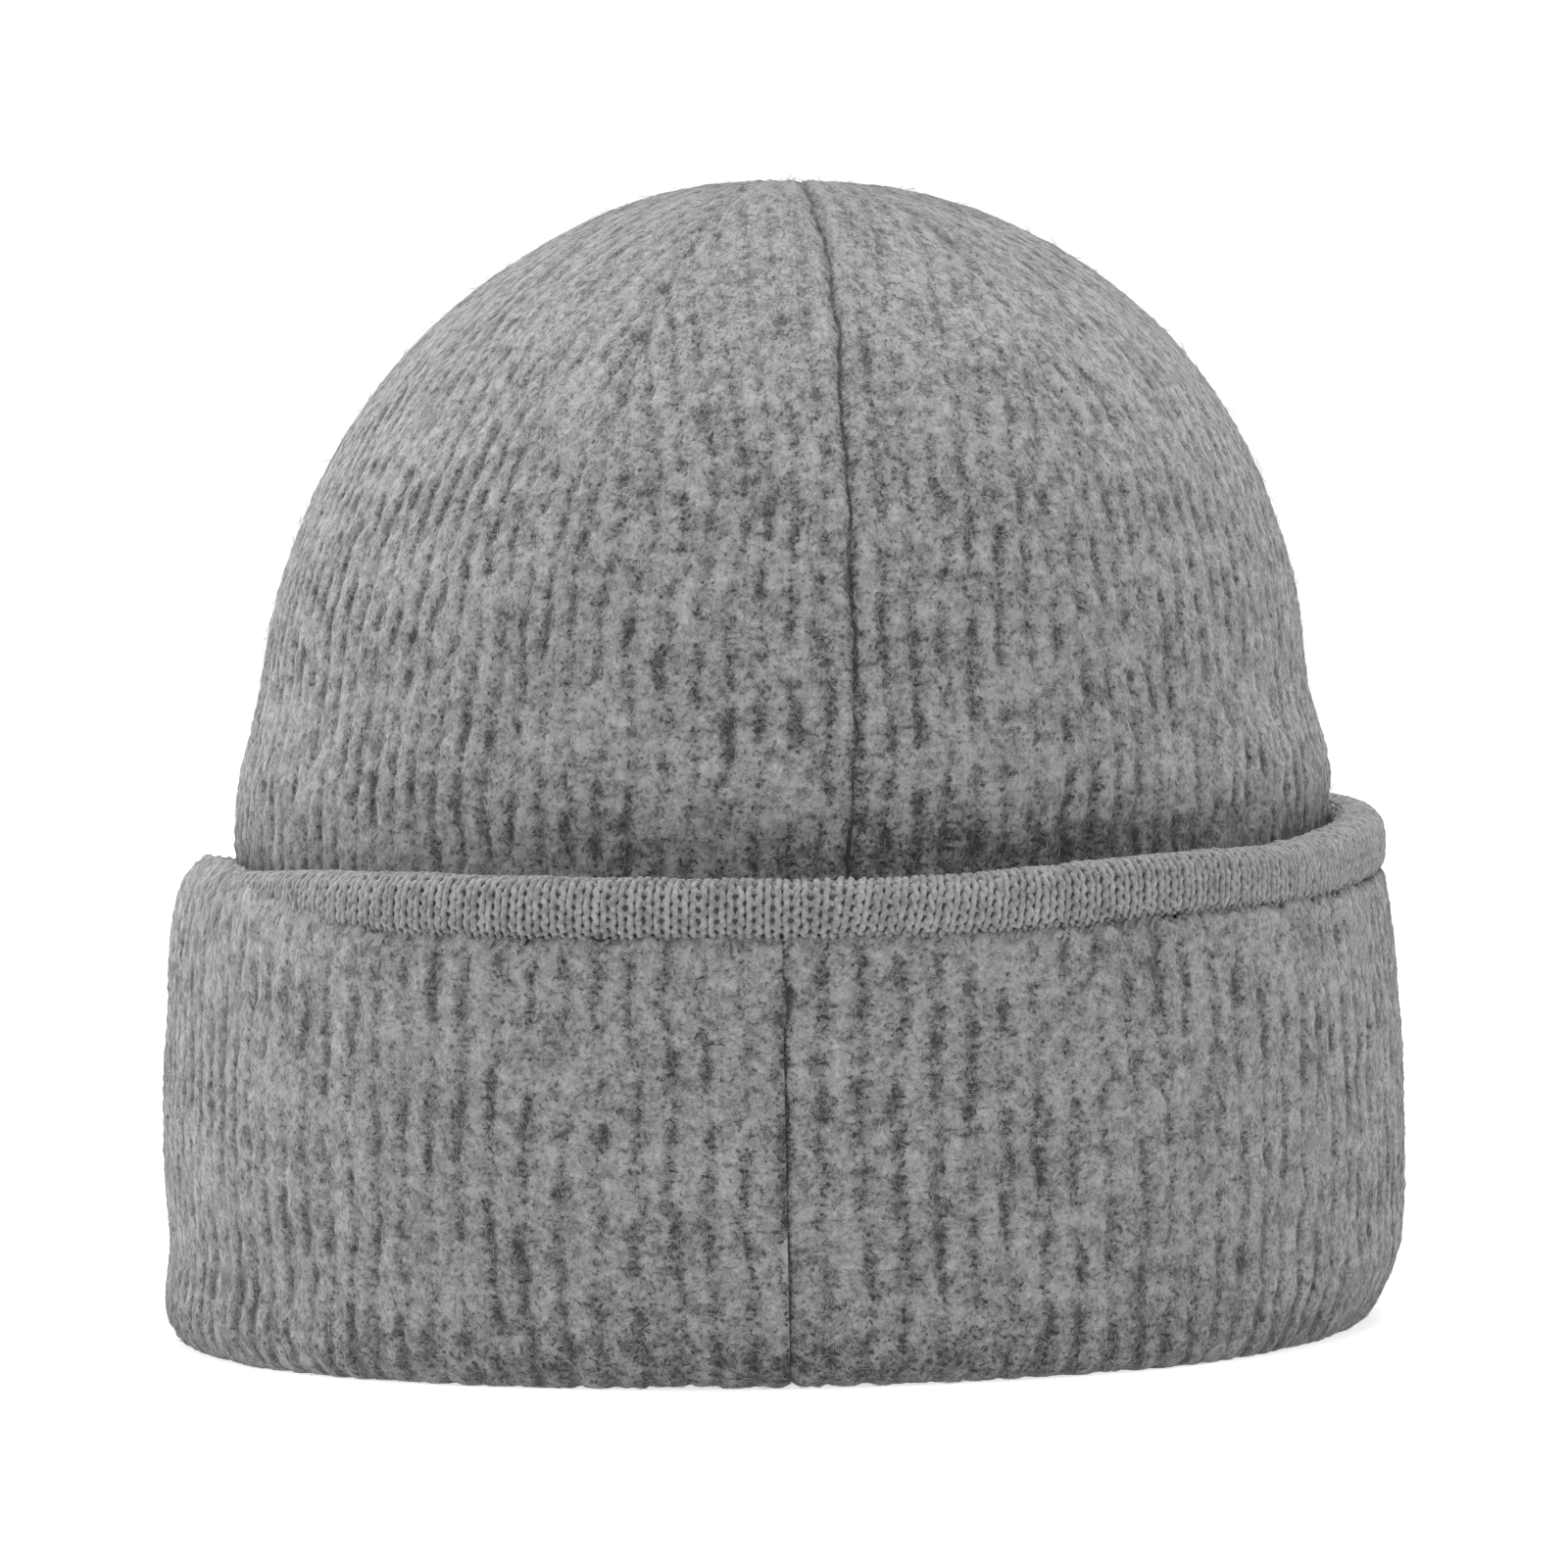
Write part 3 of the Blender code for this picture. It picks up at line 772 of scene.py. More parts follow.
def felt_material(name):
    """Felted melange wool: a fine tangle with small dark pits, cloudy patches, dark seams and painted shade in the
    grooves, behind the hem and on the fold's bottom.
    """
    material, shader = new_material(name, (0.22 * FELT_TONE,) * 3, sheen=0.25, sheen_roughness=0.4)
    nodes = Nodes(material)
    place = nodes.mapping(nodes.attribute("knit_place").outputs["Vector"], PER_MM)
    tangle = nodes.noise(place, 1.6, detail=3.0, roughness=0.62, distortion=1.1)
    pits = nodes.noise(place, 0.62, detail=2.0, roughness=0.5, distortion=0.4)
    middle = nodes.noise(place, 0.36, detail=2.0)
    patches = nodes.noise(place, 0.10, detail=1.0)
    groove = nodes.attribute("groove").outputs["Fac"]
    # the groove attribute darkens the colour: painted shade, and the dark seams
    value = nodes.weigh((tangle, 0.75), (pits, 0.55), (middle, 0.58), (patches, 0.38), (groove, -0.20))
    # single dark fibres, more of them in the grooves and wherever the groove attribute paints shade
    specks = nodes.noise(place, 1.35, detail=1.5, roughness=0.5, distortion=0.3)
    specks = nodes.math("SUBTRACT", 0.46, specks, clamp=True)
    specks = nodes.math("MULTIPLY", specks, nodes.math("ADD", groove, 0.75))
    # the seam's thin broken line
    beside = nodes.math("ABSOLUTE", nodes.attribute("from_seam").outputs["Fac"])
    line = nodes.math("SUBTRACT", 1.0, nodes.math("DIVIDE", beside, 0.42), clamp=True)
    broken = nodes.math("SUBTRACT", nodes.math("MULTIPLY", middle, 2.6), 0.85, clamp=True)
    line = nodes.math("MULTIPLY", line, broken)
    value = nodes.weigh((value, 1.0), (specks, -1.5), (line, -0.7))
    value = nodes.math("SUBTRACT", value, 0.605, clamp=True)
    stops = [(position, grey * FELT_TONE) for position, grey in FELT_STOPS]
    nodes.link(nodes.ramp(value, stops), shader.inputs["Base Color"])
    nodes.link(nodes.bump(nodes.weigh((tangle, 0.7), (pits, 0.8)), 0.42 * MM), shader.inputs["Normal"])
    return material


def yarn_material(name, stops, cloud=0.0):
    """Smooth spun yarn, slightly uneven, with as much cloudiness over several stitches as cloud says."""
    material, shader = new_material(name, (stops[-1][1],) * 3, roughness=0.85, sheen=0.15)
    nodes = Nodes(material)
    place = nodes.add("ShaderNodeTexCoord").outputs["Object"]
    place = nodes.mapping(place, PER_MM)
    blotches = nodes.noise(place, 1.6, detail=3.0)
    if cloud:
        clouds = nodes.math("SUBTRACT", nodes.noise(place, 0.32, detail=2.0), 0.5)
        blotches = nodes.math("ADD", blotches, nodes.math("MULTIPLY", clouds, cloud))
    nodes.link(nodes.ramp(blotches, stops), shader.inputs["Base Color"])
    nodes.link(nodes.bump(nodes.noise(place, 5.0, detail=2.0), 0.12 * MM), shader.inputs["Normal"])
    return material


def label_material():
    """Blank woven tape."""
    material, shader = new_material("label_tape", (0.75, 0.75, 0.73), roughness=0.7)
    nodes = Nodes(material)
    place = nodes.add("ShaderNodeTexCoord").outputs["Object"]
    weave = nodes.noise(nodes.mapping(place, (1500, 1500, 5200)), 1.0, detail=1.0)
    nodes.link(nodes.ramp(weave, [(0.3, 0.62), (0.7, 0.80)]), shader.inputs["Base Color"])
    nodes.link(nodes.bump(weave, 0.1 * MM), shader.inputs["Normal"])
    return material


# ---------------------------------------------------------------- the crown and the cuff


TOP_ARC = 0.022  # the knit starts this far from the crown's middle, where the closing stitches are
PROFILE_POINTS = 1200


def crown_rows():
    """Profile rows from the top to the band's lower edge, evenly spaced on the cloth."""
    last = math.pi / 2 + (TOP - BAND_BOTTOM - DOME_HEIGHT) / DOME_HEIGHT
    arcs = np.linspace(TOP_ARC, last, PROFILE_POINTS)
    profile = np.stack(crown_profile(arcs), axis=1)
    at = resample(profile, GRID_STEP)[1]
    length = lengths_along(profile)
    return np.interp(np.linspace(0, length[-1], len(at)), length, arcs), at


def panel_angles(start, whole, cloth_width):
    """Angles across a panel of this width at the grid's step, with one more on each side for its normals."""
    columns = 2 * int(cloth_width / GRID_STEP / 2) + 1
    return start + whole / (columns - 1) * np.arange(-1, columns + 1)


def joined(fields):
    """The outer and inner grids of all panels round the hat, each column once."""
    return [np.concatenate([field[side][:, 1:-2] for field in fields], axis=1) for side in (0, 1)]


def make_crown(material):
    """Six gores with their share of the wall and band. Also their grids, and a gore's flat and cut size."""
    rows, along = crown_rows()
    width = WALL_OVAL.whole / len(GORES)
    pieces, fields = [], []
    for gore, name in enumerate(GORES):
        angles = panel_angles(CROWN_SEAM_ANGLE + (gore - 0.5) * GORE_ANGLE, GORE_ANGLE, width)
        field = crown_field(rows, angles, gore)
        at = WALL_OVAL.share(angles) * WALL_OVAL.whole
        pieces.append(knit_shell("crown_knit_" + name, field, at, along, material))
        fields.append(field)
    half_width, _ = crown_profile(rows)
    cut = np.mean(np.minimum(half_width / WALL_HALF_WIDTH, 1.0)) * along[-1] * width
    return pieces, joined(fields), (width, along[-1]), cut


PANEL_SHIFT = 0.9, 0.4  # moves the wool's pattern on the cuff


def make_cuff(material):
    """Four quarters of the cuff and fold. Also their grids, and a quarter's flat size."""
    line, along = resample(cuff_contour(), GRID_STEP)
    oval = OvalLength(WALL_HALF_WIDTH + CUFF_PROUD_LOW, WALL_HALF_DEPTH + CUFF_PROUD_LOW)
    width = oval.whole / 4
    pieces, fields = [], []
    for number, name in enumerate(("right_rear", "right_front", "left_front", "left_rear")):
        angles = panel_angles(CUFF_SEAM_ANGLE + number * math.pi / 2, math.pi / 2, width)
        field = cuff_field(line, angles)
        at = oval.share(angles) * oval.whole + PANEL_SHIFT[0]
        pieces.append(knit_shell("cuff_knit_" + name, field, at, along + PANEL_SHIFT[1], material))
        fields.append(field)
    return pieces, joined(fields), (width, along[-1])


# ---------------------------------------------------------------- fuzz


class Surface:
    """Looks up points and normals of a closed grid, whose columns run round the hat."""

    def __init__(self, grid):
        self.grid = np.concatenate([grid, grid[:, :1]], axis=1)
        wrapped = np.concatenate([grid[:, -1:], grid, grid[:, :2]], axis=1)
        self.normal = grid_normals(wrapped)[:, 1:-1]
        self.rows, self.columns = grid.shape[:2]

    def look(self, row, column):
        row = np.clip(row, 0, self.rows - 1.001)
        column = np.mod(column, self.columns)
        r, c = row.astype(int), column.astype(int)
        fr, fc = (row - r)[..., None], (column - c)[..., None]

        def mix(values):
            top = values[r, c] * (1 - fc) + values[r, c + 1] * fc
            bottom = values[r + 1, c] * (1 - fc) + values[r + 1, c + 1] * fc
            return top * (1 - fr) + bottom * fr

        return mix(self.grid), unit(mix(self.normal))


FIBRES = 50000
FIBRE_LENGTH = 2.1 * MM
FIBRE_RADIUS = 0.024 * MM, 0.048 * MM
FIBRE_LIFT = 0.10 * MM
FIBRE_LAYERS = 0.14 * MM  # pale fibres lie this much higher than dark ones
FLYAWAY_SHARE = 0.025
FUZZY_SHARE = 0.8  # of the rows, counted from the top of the crown or the cuff
FIBRE_POINTS = 4


def lay_strands(surface, seed):
    """Paths of loose fibres that lie on the knit in all directions, a few of which stand off it."""
    rng = np.random.default_rng(seed)
    last = int(FUZZY_SHARE * surface.rows)
    sizes = np.cross(np.gradient(surface.grid[:, :-1], axis=0), np.gradient(surface.grid[:, :-1], axis=1))
    share = np.cumsum(np.linalg.norm(sizes, axis=-1)[:last].ravel())
    pick = np.searchsorted(share, rng.uniform(0, share[-1], FIBRES))
    row = pick // surface.columns + rng.uniform(0, 1, FIBRES)
    column = pick % surface.columns + rng.uniform(0, 1, FIBRES)
    heading = rng.uniform(0, 2 * math.pi, FIBRES)
    bend = rng.normal(0, 0.5, FIBRES)
    long = FIBRE_LENGTH * rng.uniform(0.5, 1.6, FIBRES)
    stands = rng.uniform(0, 1, FIBRES) < FLYAWAY_SHARE
    height = FIBRE_LIFT * rng.uniform(-0.6, 1.0, FIBRES)
    step = long / (FIBRE_POINTS - 1)
    paths, ups = np.zeros((2, FIBRES, FIBRE_POINTS, 3))
    for k in range(FIBRE_POINTS):
        place, up = surface.look(row, column)
        along = k / (FIBRE_POINTS - 1)
        raised = height * math.sin(math.pi * (0.15 + 0.7 * along))
        raised = np.where(stands, FIBRE_LIFT + along**1.5 * long * 0.30, raised)
        paths[:, k], ups[:, k] = place + up * raised[:, None], up
        r, c = np.clip(row.astype(int), 0, surface.rows - 2), np.mod(column.astype(int), surface.columns)
        row_size = np.linalg.norm(surface.grid[r + 1, c] - surface.grid[r, c], axis=1)
        column_size = np.linalg.norm(surface.grid[r, c + 1] - surface.grid[r, c], axis=1)
        row = row + np.cos(heading) * step / np.maximum(row_size, 0.2 * MM)
        column = column + np.sin(heading) * step / np.maximum(column_size, 0.2 * MM)
        heading = heading + bend + rng.normal(0, 0.12, FIBRES)
    return paths, ups


tone_small = waves(51, 3.2 * MM)
tone_large = waves(52, 13 * MM)


def fuzz(zone, surface, seed, tones):
    """A felt of loose fibres. Their tones follow the wool's patches, and the palest lie on top."""
    rng = np.random.default_rng(seed + 500)
    paths, ups = lay_strands(surface, seed)
    middle = paths[:, 1]
    tone = 0.55 * (rng.normal(0, 1, FIBRES) + tone_small(middle) + tone_large(middle))
    order = np.argsort(tone)
    radius = rng.uniform(*FIBRE_RADIUS, FIBRES)
    rank = np.empty(FIBRES)
    rank[order] = np.linspace(-0.5, 0.5, FIBRES)
    paths = paths + ups * (FIBRE_LAYERS * rank)[:, None, None]
    pieces = []
    edges = np.concatenate([[0.0], np.cumsum([share for _, share, _ in tones])]) * FIBRES
    for k, (label, _, material) in enumerate(tones):
        chosen = order[int(edges[k]) : int(edges[k + 1])]
        vertices, faces = strand_mesh(paths[chosen], ups[chosen], radius[chosen])
        vertices[:, 2] = np.maximum(vertices[:, 2], 0.02 * MM)
        pieces.append(mesh_object(zone + "_fuzz_" + label, vertices, faces, material=material))
    return pieces


# ---------------------------------------------------------------- the hem


HEM_WALES = 240
HEM_COURSE = 1.55 * MM
HEM_COURSES = 13
HEM_YARN = 0.47 * MM  # radius
HEM_CLOTH = 1.6 * MM
HEM_SQUARENESS = 0.6
LOOP_POINTS = 14
CORE_INSET = 0.75 * MM  # the loops stand out from the core by this much
CORE_ROWS, CORE_COLUMNS = 26, 480
FIRST_COURSE = 2.0 * MM
HEM_GAP = 3 * MM  # what the rolled strip leaves open, where the cuff's edge goes in

hem_sag = waves(31, 60 * MM)
hem_small = waves(32, 9 * MM)
loop_noise = [waves(33 + k, 1.6 * MM) for k in range(3)]


def hem_section(shrink, count=400):
    """The rolled trim in section, as points (proud, height) from its lower outer edge over the top."""
    middle = HEM_CLEARANCE + HEM_THICKNESS / 2
    turn = np.linspace(-math.pi / 2, 1.5 * math.pi, count)
    across = np.sign(np.cos(turn)) * np.abs(np.cos(turn)) ** HEM_SQUARENESS
    up = np.sign(np.sin(turn)) * np.abs(np.sin(turn)) ** HEM_SQUARENESS
    half_across, half_up = HEM_THICKNESS / 2 - shrink, HEM_HEIGHT / 2 - shrink
    return np.stack([middle + across * half_across, HEM_BOTTOM + HEM_HEIGHT / 2 + up * half_up], axis=1)


def hem_place(line, normals, along, angle, out):
    """Points of the trim: along is the place on its section, angle round the hat, out above the section."""
    length = lengths_along(line)
    proud = np.interp(along, length, line[:, 0]) + np.interp(along, length, normals[:, 0]) * out
    z = np.interp(along, length, line[:, 1]) + np.interp(along, length, normals[:, 1]) * out
    hidden = hem_cover(angle)
    proud = proud - 0.32 * hidden * (proud - HEM_CLEARANCE)
    z = z - hidden * (0.25 * (z - HEM_BOTTOM) + 0.2 * MM)
    place = round_wall(proud, angle, z)
    place[..., 2] += rim_lift(place[..., 0], place[..., 1])
    place[..., 2] += 0.35 * MM * hem_sag(place) + 0.12 * MM * hem_small(place)
    return place


def section_normals(line):
    """Normals of a section that runs anticlockwise, pointing outwards."""
    along = unit(np.gradient(line, axis=0))
    return np.stack([along[:, 1], -along[:, 0]], axis=1)


def hem_core(line, normals, around, material):
    """The soft core under the loops, a rolled sheet that is open where the cuff's edge goes in. Its near-black colour
    is painted shadow between the loops.
    """
    angles = np.linspace(0, 2 * math.pi, CORE_COLUMNS, endpoint=False)
    along, angle = np.meshgrid(around, angles, indexing="ij")
    outer = hem_place(line, normals, along, angle, 0.0)
    grid = np.concatenate([outer, hem_place(line, normals, along[::-1], angle, -HEM_CLOTH)])
    index = np.arange(grid.shape[0] * len(angles)).reshape(grid.shape[0], len(angles))
    after = np.roll(index, -1, axis=1)
    faces = np.stack([index, after, np.roll(after, -1, axis=0), np.roll(index, -1, axis=0)], axis=-1)
    return mesh_object("hem_core", grid.reshape(-1, 3), faces.reshape(-1, 4).tolist(), material=material)


def wale_skew(number):
    """How far the wales lean from course to course, in wales: most near the back seam and at the left."""
    near_seam = smooth(number, 1.0, 4.0) * smooth(-number, -20.0, -7.0)
    at_left = smooth(number, 185.0, 200.0) * smooth(-number, -232.0, -214.0)
    return 0.02 + 0.12 * near_seam + 0.06 * at_left


def make_hem(yarn, core_shadow_material):
    """The jersey trim: real knitted loops, course by course, over a soft core whose dark colour is painted shadow.
    Also the strip's flat size.
    """
    oval = OvalLength(WALL_HALF_WIDTH + HEM_THICKNESS, WALL_HALF_DEPTH + HEM_THICKNESS)
    line = hem_section(CORE_INSET)
    normals = section_normals(line)
    total = lengths_along(line)[-1]
    around = np.linspace(0.0, total - HEM_GAP, CORE_ROWS)
    number = np.arange(HEM_WALES * LOOP_POINTS) / LOOP_POINTS
    turn = number * 2 * math.pi
    loops = []
    for course in range(HEM_COURSES):
        wale = number + 0.165 * np.sin(2 * turn) - 0.035 * np.sin(turn) + wale_skew(number) * course
        angle = oval.to_angle(np.mod(wale, HEM_WALES) / HEM_WALES)
        along = FIRST_COURSE + (course + 0.80 * np.cos(turn)) * HEM_COURSE
        out = 0.22 * MM - 0.27 * MM * np.cos(2 * turn)
        loops.append(hem_place(line, normals, np.clip(along, 0.0, total), angle, out))
    loops = np.array(loops)
    loops += 0.10 * MM * np.stack([noise(loops) for noise in loop_noise], axis=-1)
    ups = unit(unit(loops * np.array([1, 1, 0])) * 0.8 + np.array([0, 0, 0.6]))
    pieces = [hem_core(line, normals, around, core_shadow_material)]
    for name, first, last in (("face", 0, 4), ("edge", 4, 8), ("inside", 8, HEM_COURSES)):
        vertices, faces = tube_mesh(loops[first:last], ups[first:last], HEM_YARN, 6, closed=True)
        pieces.append(mesh_object("hem_jersey_" + name, vertices, faces, material=yarn))
    return pieces, (oval.whole, around[-1])


# ---------------------------------------------------------------- seams and label


def yarn_bars(name, starts, ends, ups, radius, arch, material):
    """Short arched stitches from starts to ends."""
    share = np.linspace(0, 1, 6)[None, :, None]
    paths = starts[:, None] * (1 - share) + ends[:, None] * share
    paths = paths + ups[:, None] * (np.sin(math.pi * share) * arch)
    vertices, faces = tube_mesh(paths, np.broadcast_to(ups[:, None], paths.shape), radius, 6, closed=False)
    return mesh_object(name, vertices, faces, material=material)


STITCH_STEP = 2.1 * MM
STITCH_YARN = 0.22 * MM  # radius


def make_seam(name, face, rows, columns, radius, material):
    """A linked seam's allowance on the cloth's inner face: a soft ridge with stitches over it."""
    place, outward = face.look(rows, columns)
    normal = -outward
    length = lengths_along(place)
    soft = 1 + 0.16 * np.sin(length / (1.3 * MM)) + 0.1 * np.sin(length / (3.1 * MM) + 1)
    middle = place + normal * radius * 0.3
    ridge, ridge_faces = tube_mesh(middle[None], normal[None], radius * soft[None], 10, closed=False)
    at = np.arange(2 * MM, length[-1] - 2 * MM, STITCH_STEP)

    def along(values, where):
        return np.stack([np.interp(where, length, values[:, k]) for k in range(3)], axis=1)

    centre, up = along(place, at), unit(along(normal, at))
    tangent = unit(along(np.gradient(place, axis=0), at))
    side = np.cross(tangent, up)
    turn = np.linspace(0, math.pi, 7)[None, :, None]
    reach = radius * 1.25
    arcs = centre[:, None] + side[:, None] * np.cos(turn) * reach + up[:, None] * np.sin(turn) * reach * 1.1
    arcs = arcs + tangent[:, None] * (turn / math.pi - 0.5) * 1.1 * MM
    ups = np.broadcast_to(tangent[:, None], arcs.shape)
    stitches, stitch_faces = tube_mesh(arcs, ups, STITCH_YARN, 6, closed=False)
    faces = ridge_faces + [[v + len(ridge) for v in face] for face in stitch_faces]
    return mesh_object(name, np.concatenate([ridge, stitches]), faces, material=material)


LABEL_FACES = 3.35 * MM, 3.8 * MM  # depth of the tape's two faces inside the wall's outer face
LABEL_HEM = 1.5 * MM
LABEL_STITCHES = 13
LABEL_STITCH = 1.5 * MM


def make_label(tape, thread):
    """A blank care label sewn to the band beside the back seam, with its lower end a little off the cloth."""
    low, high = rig.box("care_label")
    first, last = (math.atan2(x / WALL_HALF_WIDTH, 1.0) for x in (low.x, high.x))
    angle = np.linspace(first, last, 31)[None, :]
    z = np.linspace(high.z, low.z, 41)[:, None]
    across, down = (angle - first) / (last - first), (high.z - z) / (high.z - low.z)
    lift = across**2 * (1.1 * MM + 0.6 * MM * np.sin(1 + 4.5 * down)) + 0.15 * MM * across * np.cos(9 * down)
    faces = [round_wall(-depth - lift, angle, z) for depth in LABEL_FACES]
    rows, columns = faces[0].shape[:2]
    near, far = np.arange(2 * rows * columns).reshape(2, rows, columns)
    quads = grid_faces(rows, columns) + grid_faces(rows, columns, rows * columns, flip=True)
    for cut, turned in ((np.s_[0], 1), (np.s_[-1], 0), (np.s_[:, 0], 0), (np.s_[:, -1], 1)):
        a, b = (near[cut][::-1], far[cut][::-1]) if turned else (near[cut], far[cut])
        quads += np.stack([a[:-1], b[:-1], b[1:], a[1:]], axis=1).tolist()
    vertices = np.concatenate([face.reshape(-1, 3) for face in faces])
    label = mesh_object("blank_label", vertices, quads, material=tape)
    heights = np.linspace(high.z - LABEL_HEM, low.z + LABEL_HEM, LABEL_STITCHES)
    inner = round_wall(-3.95 * MM, first + 1.2 * MM / WALL_HALF_WIDTH, 0.0)
    starts = inner + np.array([0, 0, 1]) * (heights[:, None] + LABEL_STITCH / 2)
    ends = inner + np.array([0, 0, 1]) * (heights[:, None] - LABEL_STITCH / 2)
    ups = np.tile(unit(-inner), (len(heights), 1))
    stitches = yarn_bars("label_stitches", starts, ends, ups, STITCH_YARN, 0.25 * MM, thread)
    return label, stitches, (high.x - low.x, high.z - low.z)


CLOSING_STITCHES = 10


def make_closure(material):
    """Gathering stitches, drawn together on the inner side of the crown's top."""
    turn = np.linspace(0, 2 * math.pi, CLOSING_STITCHES, endpoint=False)
    centre = np.array([CROWN_LEAN * (TOP - CUFF_TOP), 0.0, TOP - KNIT - 2.6 * MM])
    out = np.stack([np.cos(turn), np.sin(turn), np.full(len(turn), -0.25)], axis=-1)
    starts, ends = centre + out * 1.0 * MM, centre + out * 4.6 * MM
    ups = np.tile(np.array([0.0, 0.0, -1.0]), (len(turn), 1))
    return yarn_bars("closing_stitches", starts, ends, ups, 0.45 * MM, 0.8 * MM, material)


def make_hem_stitches(material):
    """Slanted linking stitches in the groove under the hem."""
    oval = OvalLength(WALL_HALF_WIDTH + CUFF_PROUD_TOP, WALL_HALF_DEPTH + CUFF_PROUD_TOP)
    share = np.arange(HEM_WALES) / HEM_WALES

    def around(shift, z, proud):
        place = round_wall(proud, oval.to_angle(share + shift / HEM_WALES), z)
        place[:, 2] += rim_lift(place[:, 0], place[:, 1])
        return place

    low = around(0.0, HEM_BOTTOM - 1.2 * MM, CUFF_PROUD_TOP - 1.9 * MM)
    high = around(0.45, HEM_BOTTOM + 0.6 * MM, CUFF_PROUD_TOP - 1.6 * MM)
    out = unit(low * np.array([1, 1, 0]))
    return yarn_bars("hem_stitches", low, high, out, 0.32 * MM, 0.5 * MM, material)


# ---------------------------------------------------------------- stage


STAGE_RADIUS = 5.0
STAGE_RISE = 1.0
STAGE_SIDES = 96
STAGE_RINGS = 13
STAGE_GREY = 0.60
STAGE_GLOW = 0.70


def make_stage():
    """A round pale floor that curves up far away on every side, so that no horizon shows in any view."""
    around = np.linspace(0, 2 * math.pi, STAGE_SIDES, endpoint=False)
    climb = np.linspace(0, math.pi / 2, STAGE_RINGS)[:, None]
    radius, height = STAGE_RADIUS + STAGE_RISE * np.sin(climb), STAGE_RISE * (1 - np.cos(climb))
    rings = np.broadcast_arrays(radius * np.cos(around), radius * np.sin(around), height)
    index = np.arange(STAGE_RINGS * STAGE_SIDES).reshape(STAGE_RINGS, STAGE_SIDES)
    after = np.roll(index, -1, axis=1)
    quads = np.stack([after[:-1], index[:-1], index[1:], after[1:]], axis=-1)
    faces = [index[0].tolist()] + quads.reshape(-1, 4).tolist()
    material, shader = new_material("studio_white", (STAGE_GREY,) * 3, roughness=0.9)
    shader.inputs["Emission Color"].default_value = (1, 1, 1, 1)
    shader.inputs["Emission Strength"].default_value = STAGE_GLOW
    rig.stage(mesh_object("studio_floor", np.stack(rings, axis=-1).reshape(-1, 3), faces, material=material))


LIGHT_TARGET = Vector((0, 0, 0.08))
LIGHTS = (  # name, place, diameter, power
    ("key_light", (-0.1, -1.6, 1.0), 1.5, 16),
    ("top_light", (0.0, 0.25, 1.6), 1.5, 43),
    ("left_light", (-1.6, 0.75, 0.4), 1.0, 20),
    ("right_light", (1.6, 0.75, 0.4), 1.0, 4.5),
)
SKY = 0.435


def area_light(name, place, size, power):
    light = bpy.data.lights.new(name, "AREA")
    light.shape = "DISK"
    light.size = size
    light.energy = power
    made = bpy.data.objects.new(name, light)
    made.location = place
    made.rotation_euler = (LIGHT_TARGET - Vector(place)).to_track_quat("-Z", "Y").to_euler()
    made.visible_camera = False
    bpy.context.scene.collection.objects.link(made)


def make_light():
    for light in LIGHTS:
        area_light(*light)
    world = bpy.data.worlds.new("studio")
    bpy.context.scene.world = world
    world.use_nodes = True
    background = world.node_tree.nodes["Background"]
    background.inputs["Color"].default_value = (1, 1, 1, 1)
    background.inputs["Strength"].default_value = SKY


CAMERA_DISTANCE = 1.8
CAMERA_ELEVATION = math.radians(2.45)
CAMERA_ROLL = math.radians(1.12)
CAMERA_LENS = 287.3
CAMERA_SHIFT = 0.0034
AIM_HEIGHT = 77.9 * MM


def make_camera():
    data = bpy.data.cameras.new("camera")
    data.sensor_width = 36.0
    data.lens = CAMERA_LENS
    data.shift_x = CAMERA_SHIFT
    data.clip_start, data.clip_end = 0.1, 20.0
    camera = bpy.data.objects.new("camera", data)
    bpy.context.scene.collection.objects.link(camera)
    back = Vector((0, -math.cos(CAMERA_ELEVATION), math.sin(CAMERA_ELEVATION)))
    camera.location = Vector((0, 0, AIM_HEIGHT)) + back * CAMERA_DISTANCE
    facing = (-back).to_track_quat("-Z", "Y").to_matrix()
    camera.rotation_euler = (facing @ Matrix.Rotation(-CAMERA_ROLL, 3, "Z")).to_euler()
    bpy.context.scene.camera = camera


# ---------------------------------------------------------------- the whole


def belongs(piece, motion, slot, *nodes):
    """Gives a piece its body, or the two bodies it bends between, its slot, and the nodes it stands for."""
    if isinstance(motion, str):
        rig.ride(piece, motion)
    else:
        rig.blend(piece, *motion)
    if nodes:
        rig.replaces(piece, *nodes)
    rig.slot(piece, slot)


CROWN_MOTION = ("crown", "fold", (0, 0, HEM_BOTTOM), (0, 0, BAND_BOTTOM))
CUFF_MOTION = ("fold", "hem", (0, 0, FOLD_TOP), (0, 0, HEM_BOTTOM - 1 * MM))
DARTS = ("right_rear", "right", "right_front", "left_front", "left", "left_rear")

felt = felt_material("felted_rib")
jersey = yarn_material("jersey_yarn", [(0.28, 0.115), (0.5, 0.195), (0.72, 0.27)], cloud=0.6)
# near-black core: painted shadow in the holes between the hem's loops
jersey_shadow_core = yarn_material("jersey_shadow", [(0.3, 0.05), (0.7, 0.09)])
seam_yarn = yarn_material("seam_yarn", [(0.3, 0.10), (0.7, 0.20)])
light_thread = yarn_material("label_thread", [(0.3, 0.55), (0.7, 0.7)])
TONES = (  # name, share of the fibres, material, from dark to pale
    ("dark", 0.06, new_material("fibre_dark", (0.11, 0.11, 0.111), sheen=0.05)[0]),
    ("grey", 0.24, new_material("fibre_grey", (0.15, 0.15, 0.152), sheen=0.1)[0]),
    ("pale", 0.40, new_material("fibre_pale", (0.205, 0.205, 0.207), sheen=0.1)[0]),
    ("light", 0.30, new_material("fibre_light", (0.275, 0.275, 0.277), sheen=0.1)[0]),
)

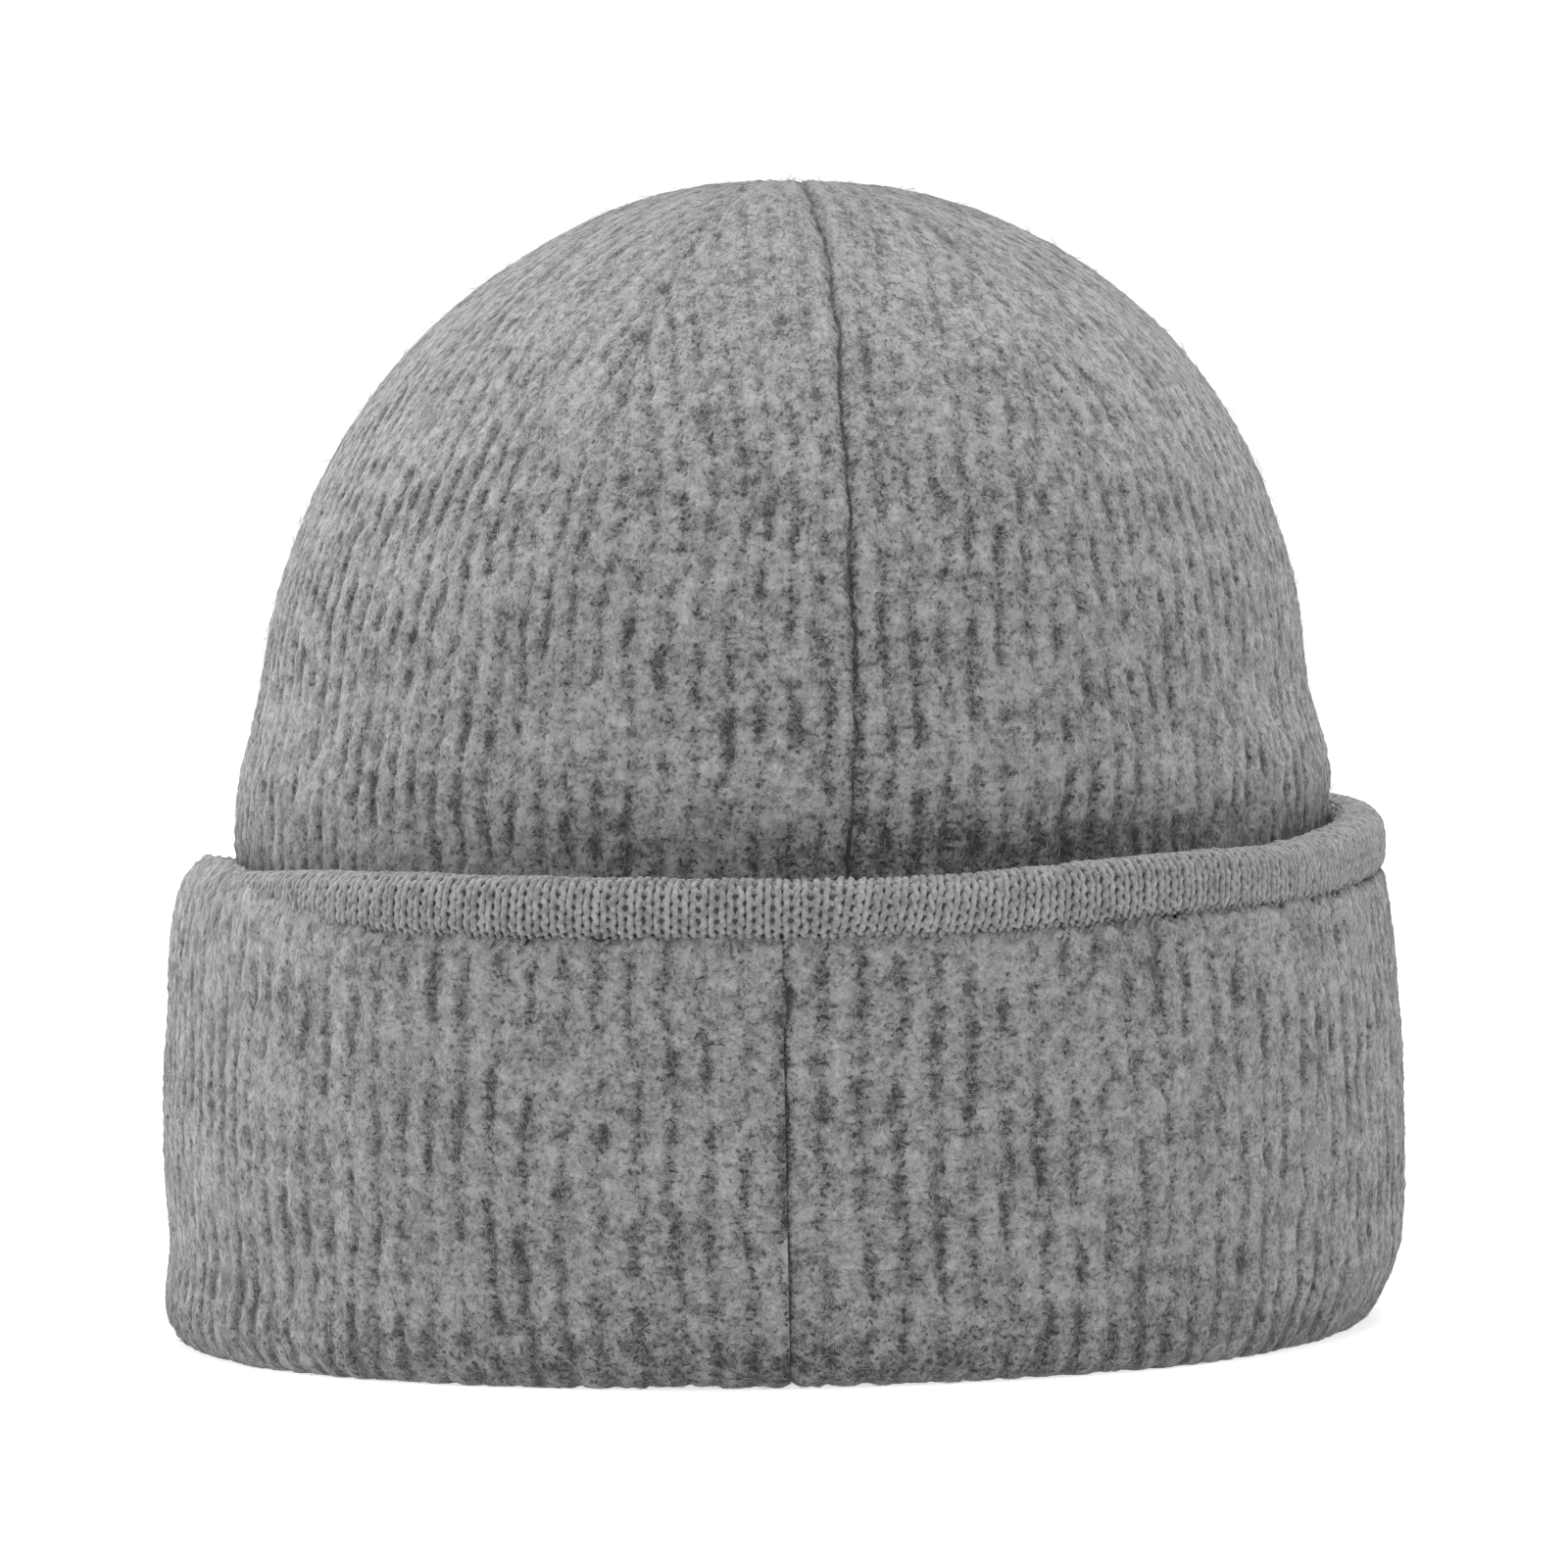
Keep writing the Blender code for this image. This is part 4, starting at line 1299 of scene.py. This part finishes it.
crown_pieces, (crown_grid, crown_inside), gore_flat, gore_cut = make_crown(felt)
cuff_pieces, (cuff_grid, cuff_inside), quarter_flat = make_cuff(felt)
hem_pieces, hem_flat = make_hem(jersey, jersey_shadow_core)
hem_stitches = make_hem_stitches(seam_yarn)

for gore, piece in zip(GORES, crown_pieces):
    belongs(piece, CROWN_MOTION, "crown_knit", "crown_gore_" + gore, "crown_wall", "side_band")
    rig.sheet(piece, flat=gore_flat, held="gathered", area=gore_cut, rests_on=[cuff_pieces[0]])
for piece in cuff_pieces:
    belongs(piece, CUFF_MOTION, "cuff_knit", "cuff_panel", "brim_fold")
    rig.sheet(piece, flat=quarter_flat, held="folded", rests_on=[crown_pieces[0]])
belongs(hem_pieces[0], "hem", "hem_jersey", "hem_trim")
for piece in hem_pieces[1:]:
    belongs(piece, "hem", "hem_jersey")
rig.sheet(hem_pieces[0], flat=hem_flat, held="folded", rests_on=cuff_pieces, with_pieces=hem_pieces[1:])
belongs(hem_stitches, "hem", "seam_yarn", "hem_seam")
belongs(make_closure(seam_yarn), "crown", "seam_yarn", "crown_closure")

# Seam allowances, on the knit's inner side.
crown_lining, cuff_lining = Surface(crown_inside), Surface(cuff_inside)
per_gore = crown_lining.columns / len(GORES)
down = np.arange(8.0, crown_lining.rows - 3)
height = crown_inside[down.astype(int), 0, 2]
drift = (CUFF_SEAM_ANGLE - CROWN_SEAM_ANGLE) * smooth(-height, -CUFF_TOP + 4 * MM, -FOLD_TOP)
across = per_gore / 2 + drift / GORE_ANGLE * per_gore
seam = make_seam("back_seam", crown_lining, down, across, 1.1 * MM, seam_yarn)
belongs(seam, CROWN_MOTION, "seam_yarn", "centre_back_seam")
down = np.arange(2.0, cuff_lining.rows * 0.42)
seam = make_seam("cuff_back_seam", cuff_lining, down, np.zeros(len(down)), 0.8 * MM, seam_yarn)
belongs(seam, CUFF_MOTION, "seam_yarn", "cuff_seam")
down = np.arange(8.0, np.searchsorted(-crown_inside[:, 0, 2], -DART_END))
for number, name in enumerate(DARTS):
    column = np.full(len(down), (number + 1) % len(DARTS) * per_gore)
    seam = make_seam("dart_ridge_" + name, crown_lining, down, column, 0.9 * MM, seam_yarn)
    belongs(seam, "crown", "seam_yarn", "dart_seam_" + name)

for piece in fuzz("crown", Surface(crown_grid), 41, TONES):
    belongs(piece, CROWN_MOTION, "crown_knit")
for piece in fuzz("cuff", Surface(cuff_grid), 42, TONES):
    belongs(piece, CUFF_MOTION, "cuff_knit")

label, label_thread, label_flat = make_label(label_material(), light_thread)
belongs(label, "crown", "label_cloth", "care_label")
belongs(label_thread, "crown", "seam_yarn", "label_stitch")
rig.sheet(label, flat=label_flat, held="hung", rests_on=[crown_pieces[0]], with_pieces=[label_thread])

make_stage()
make_light()
make_camera()
bpy.context.scene.view_settings.view_transform = "Standard"

visual_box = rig.bounds()
with open("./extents.json", "w") as out:
    json.dump({"cad": [list(c) for c in cad_box], "visual": [list(c) for c in visual_box]}, out)
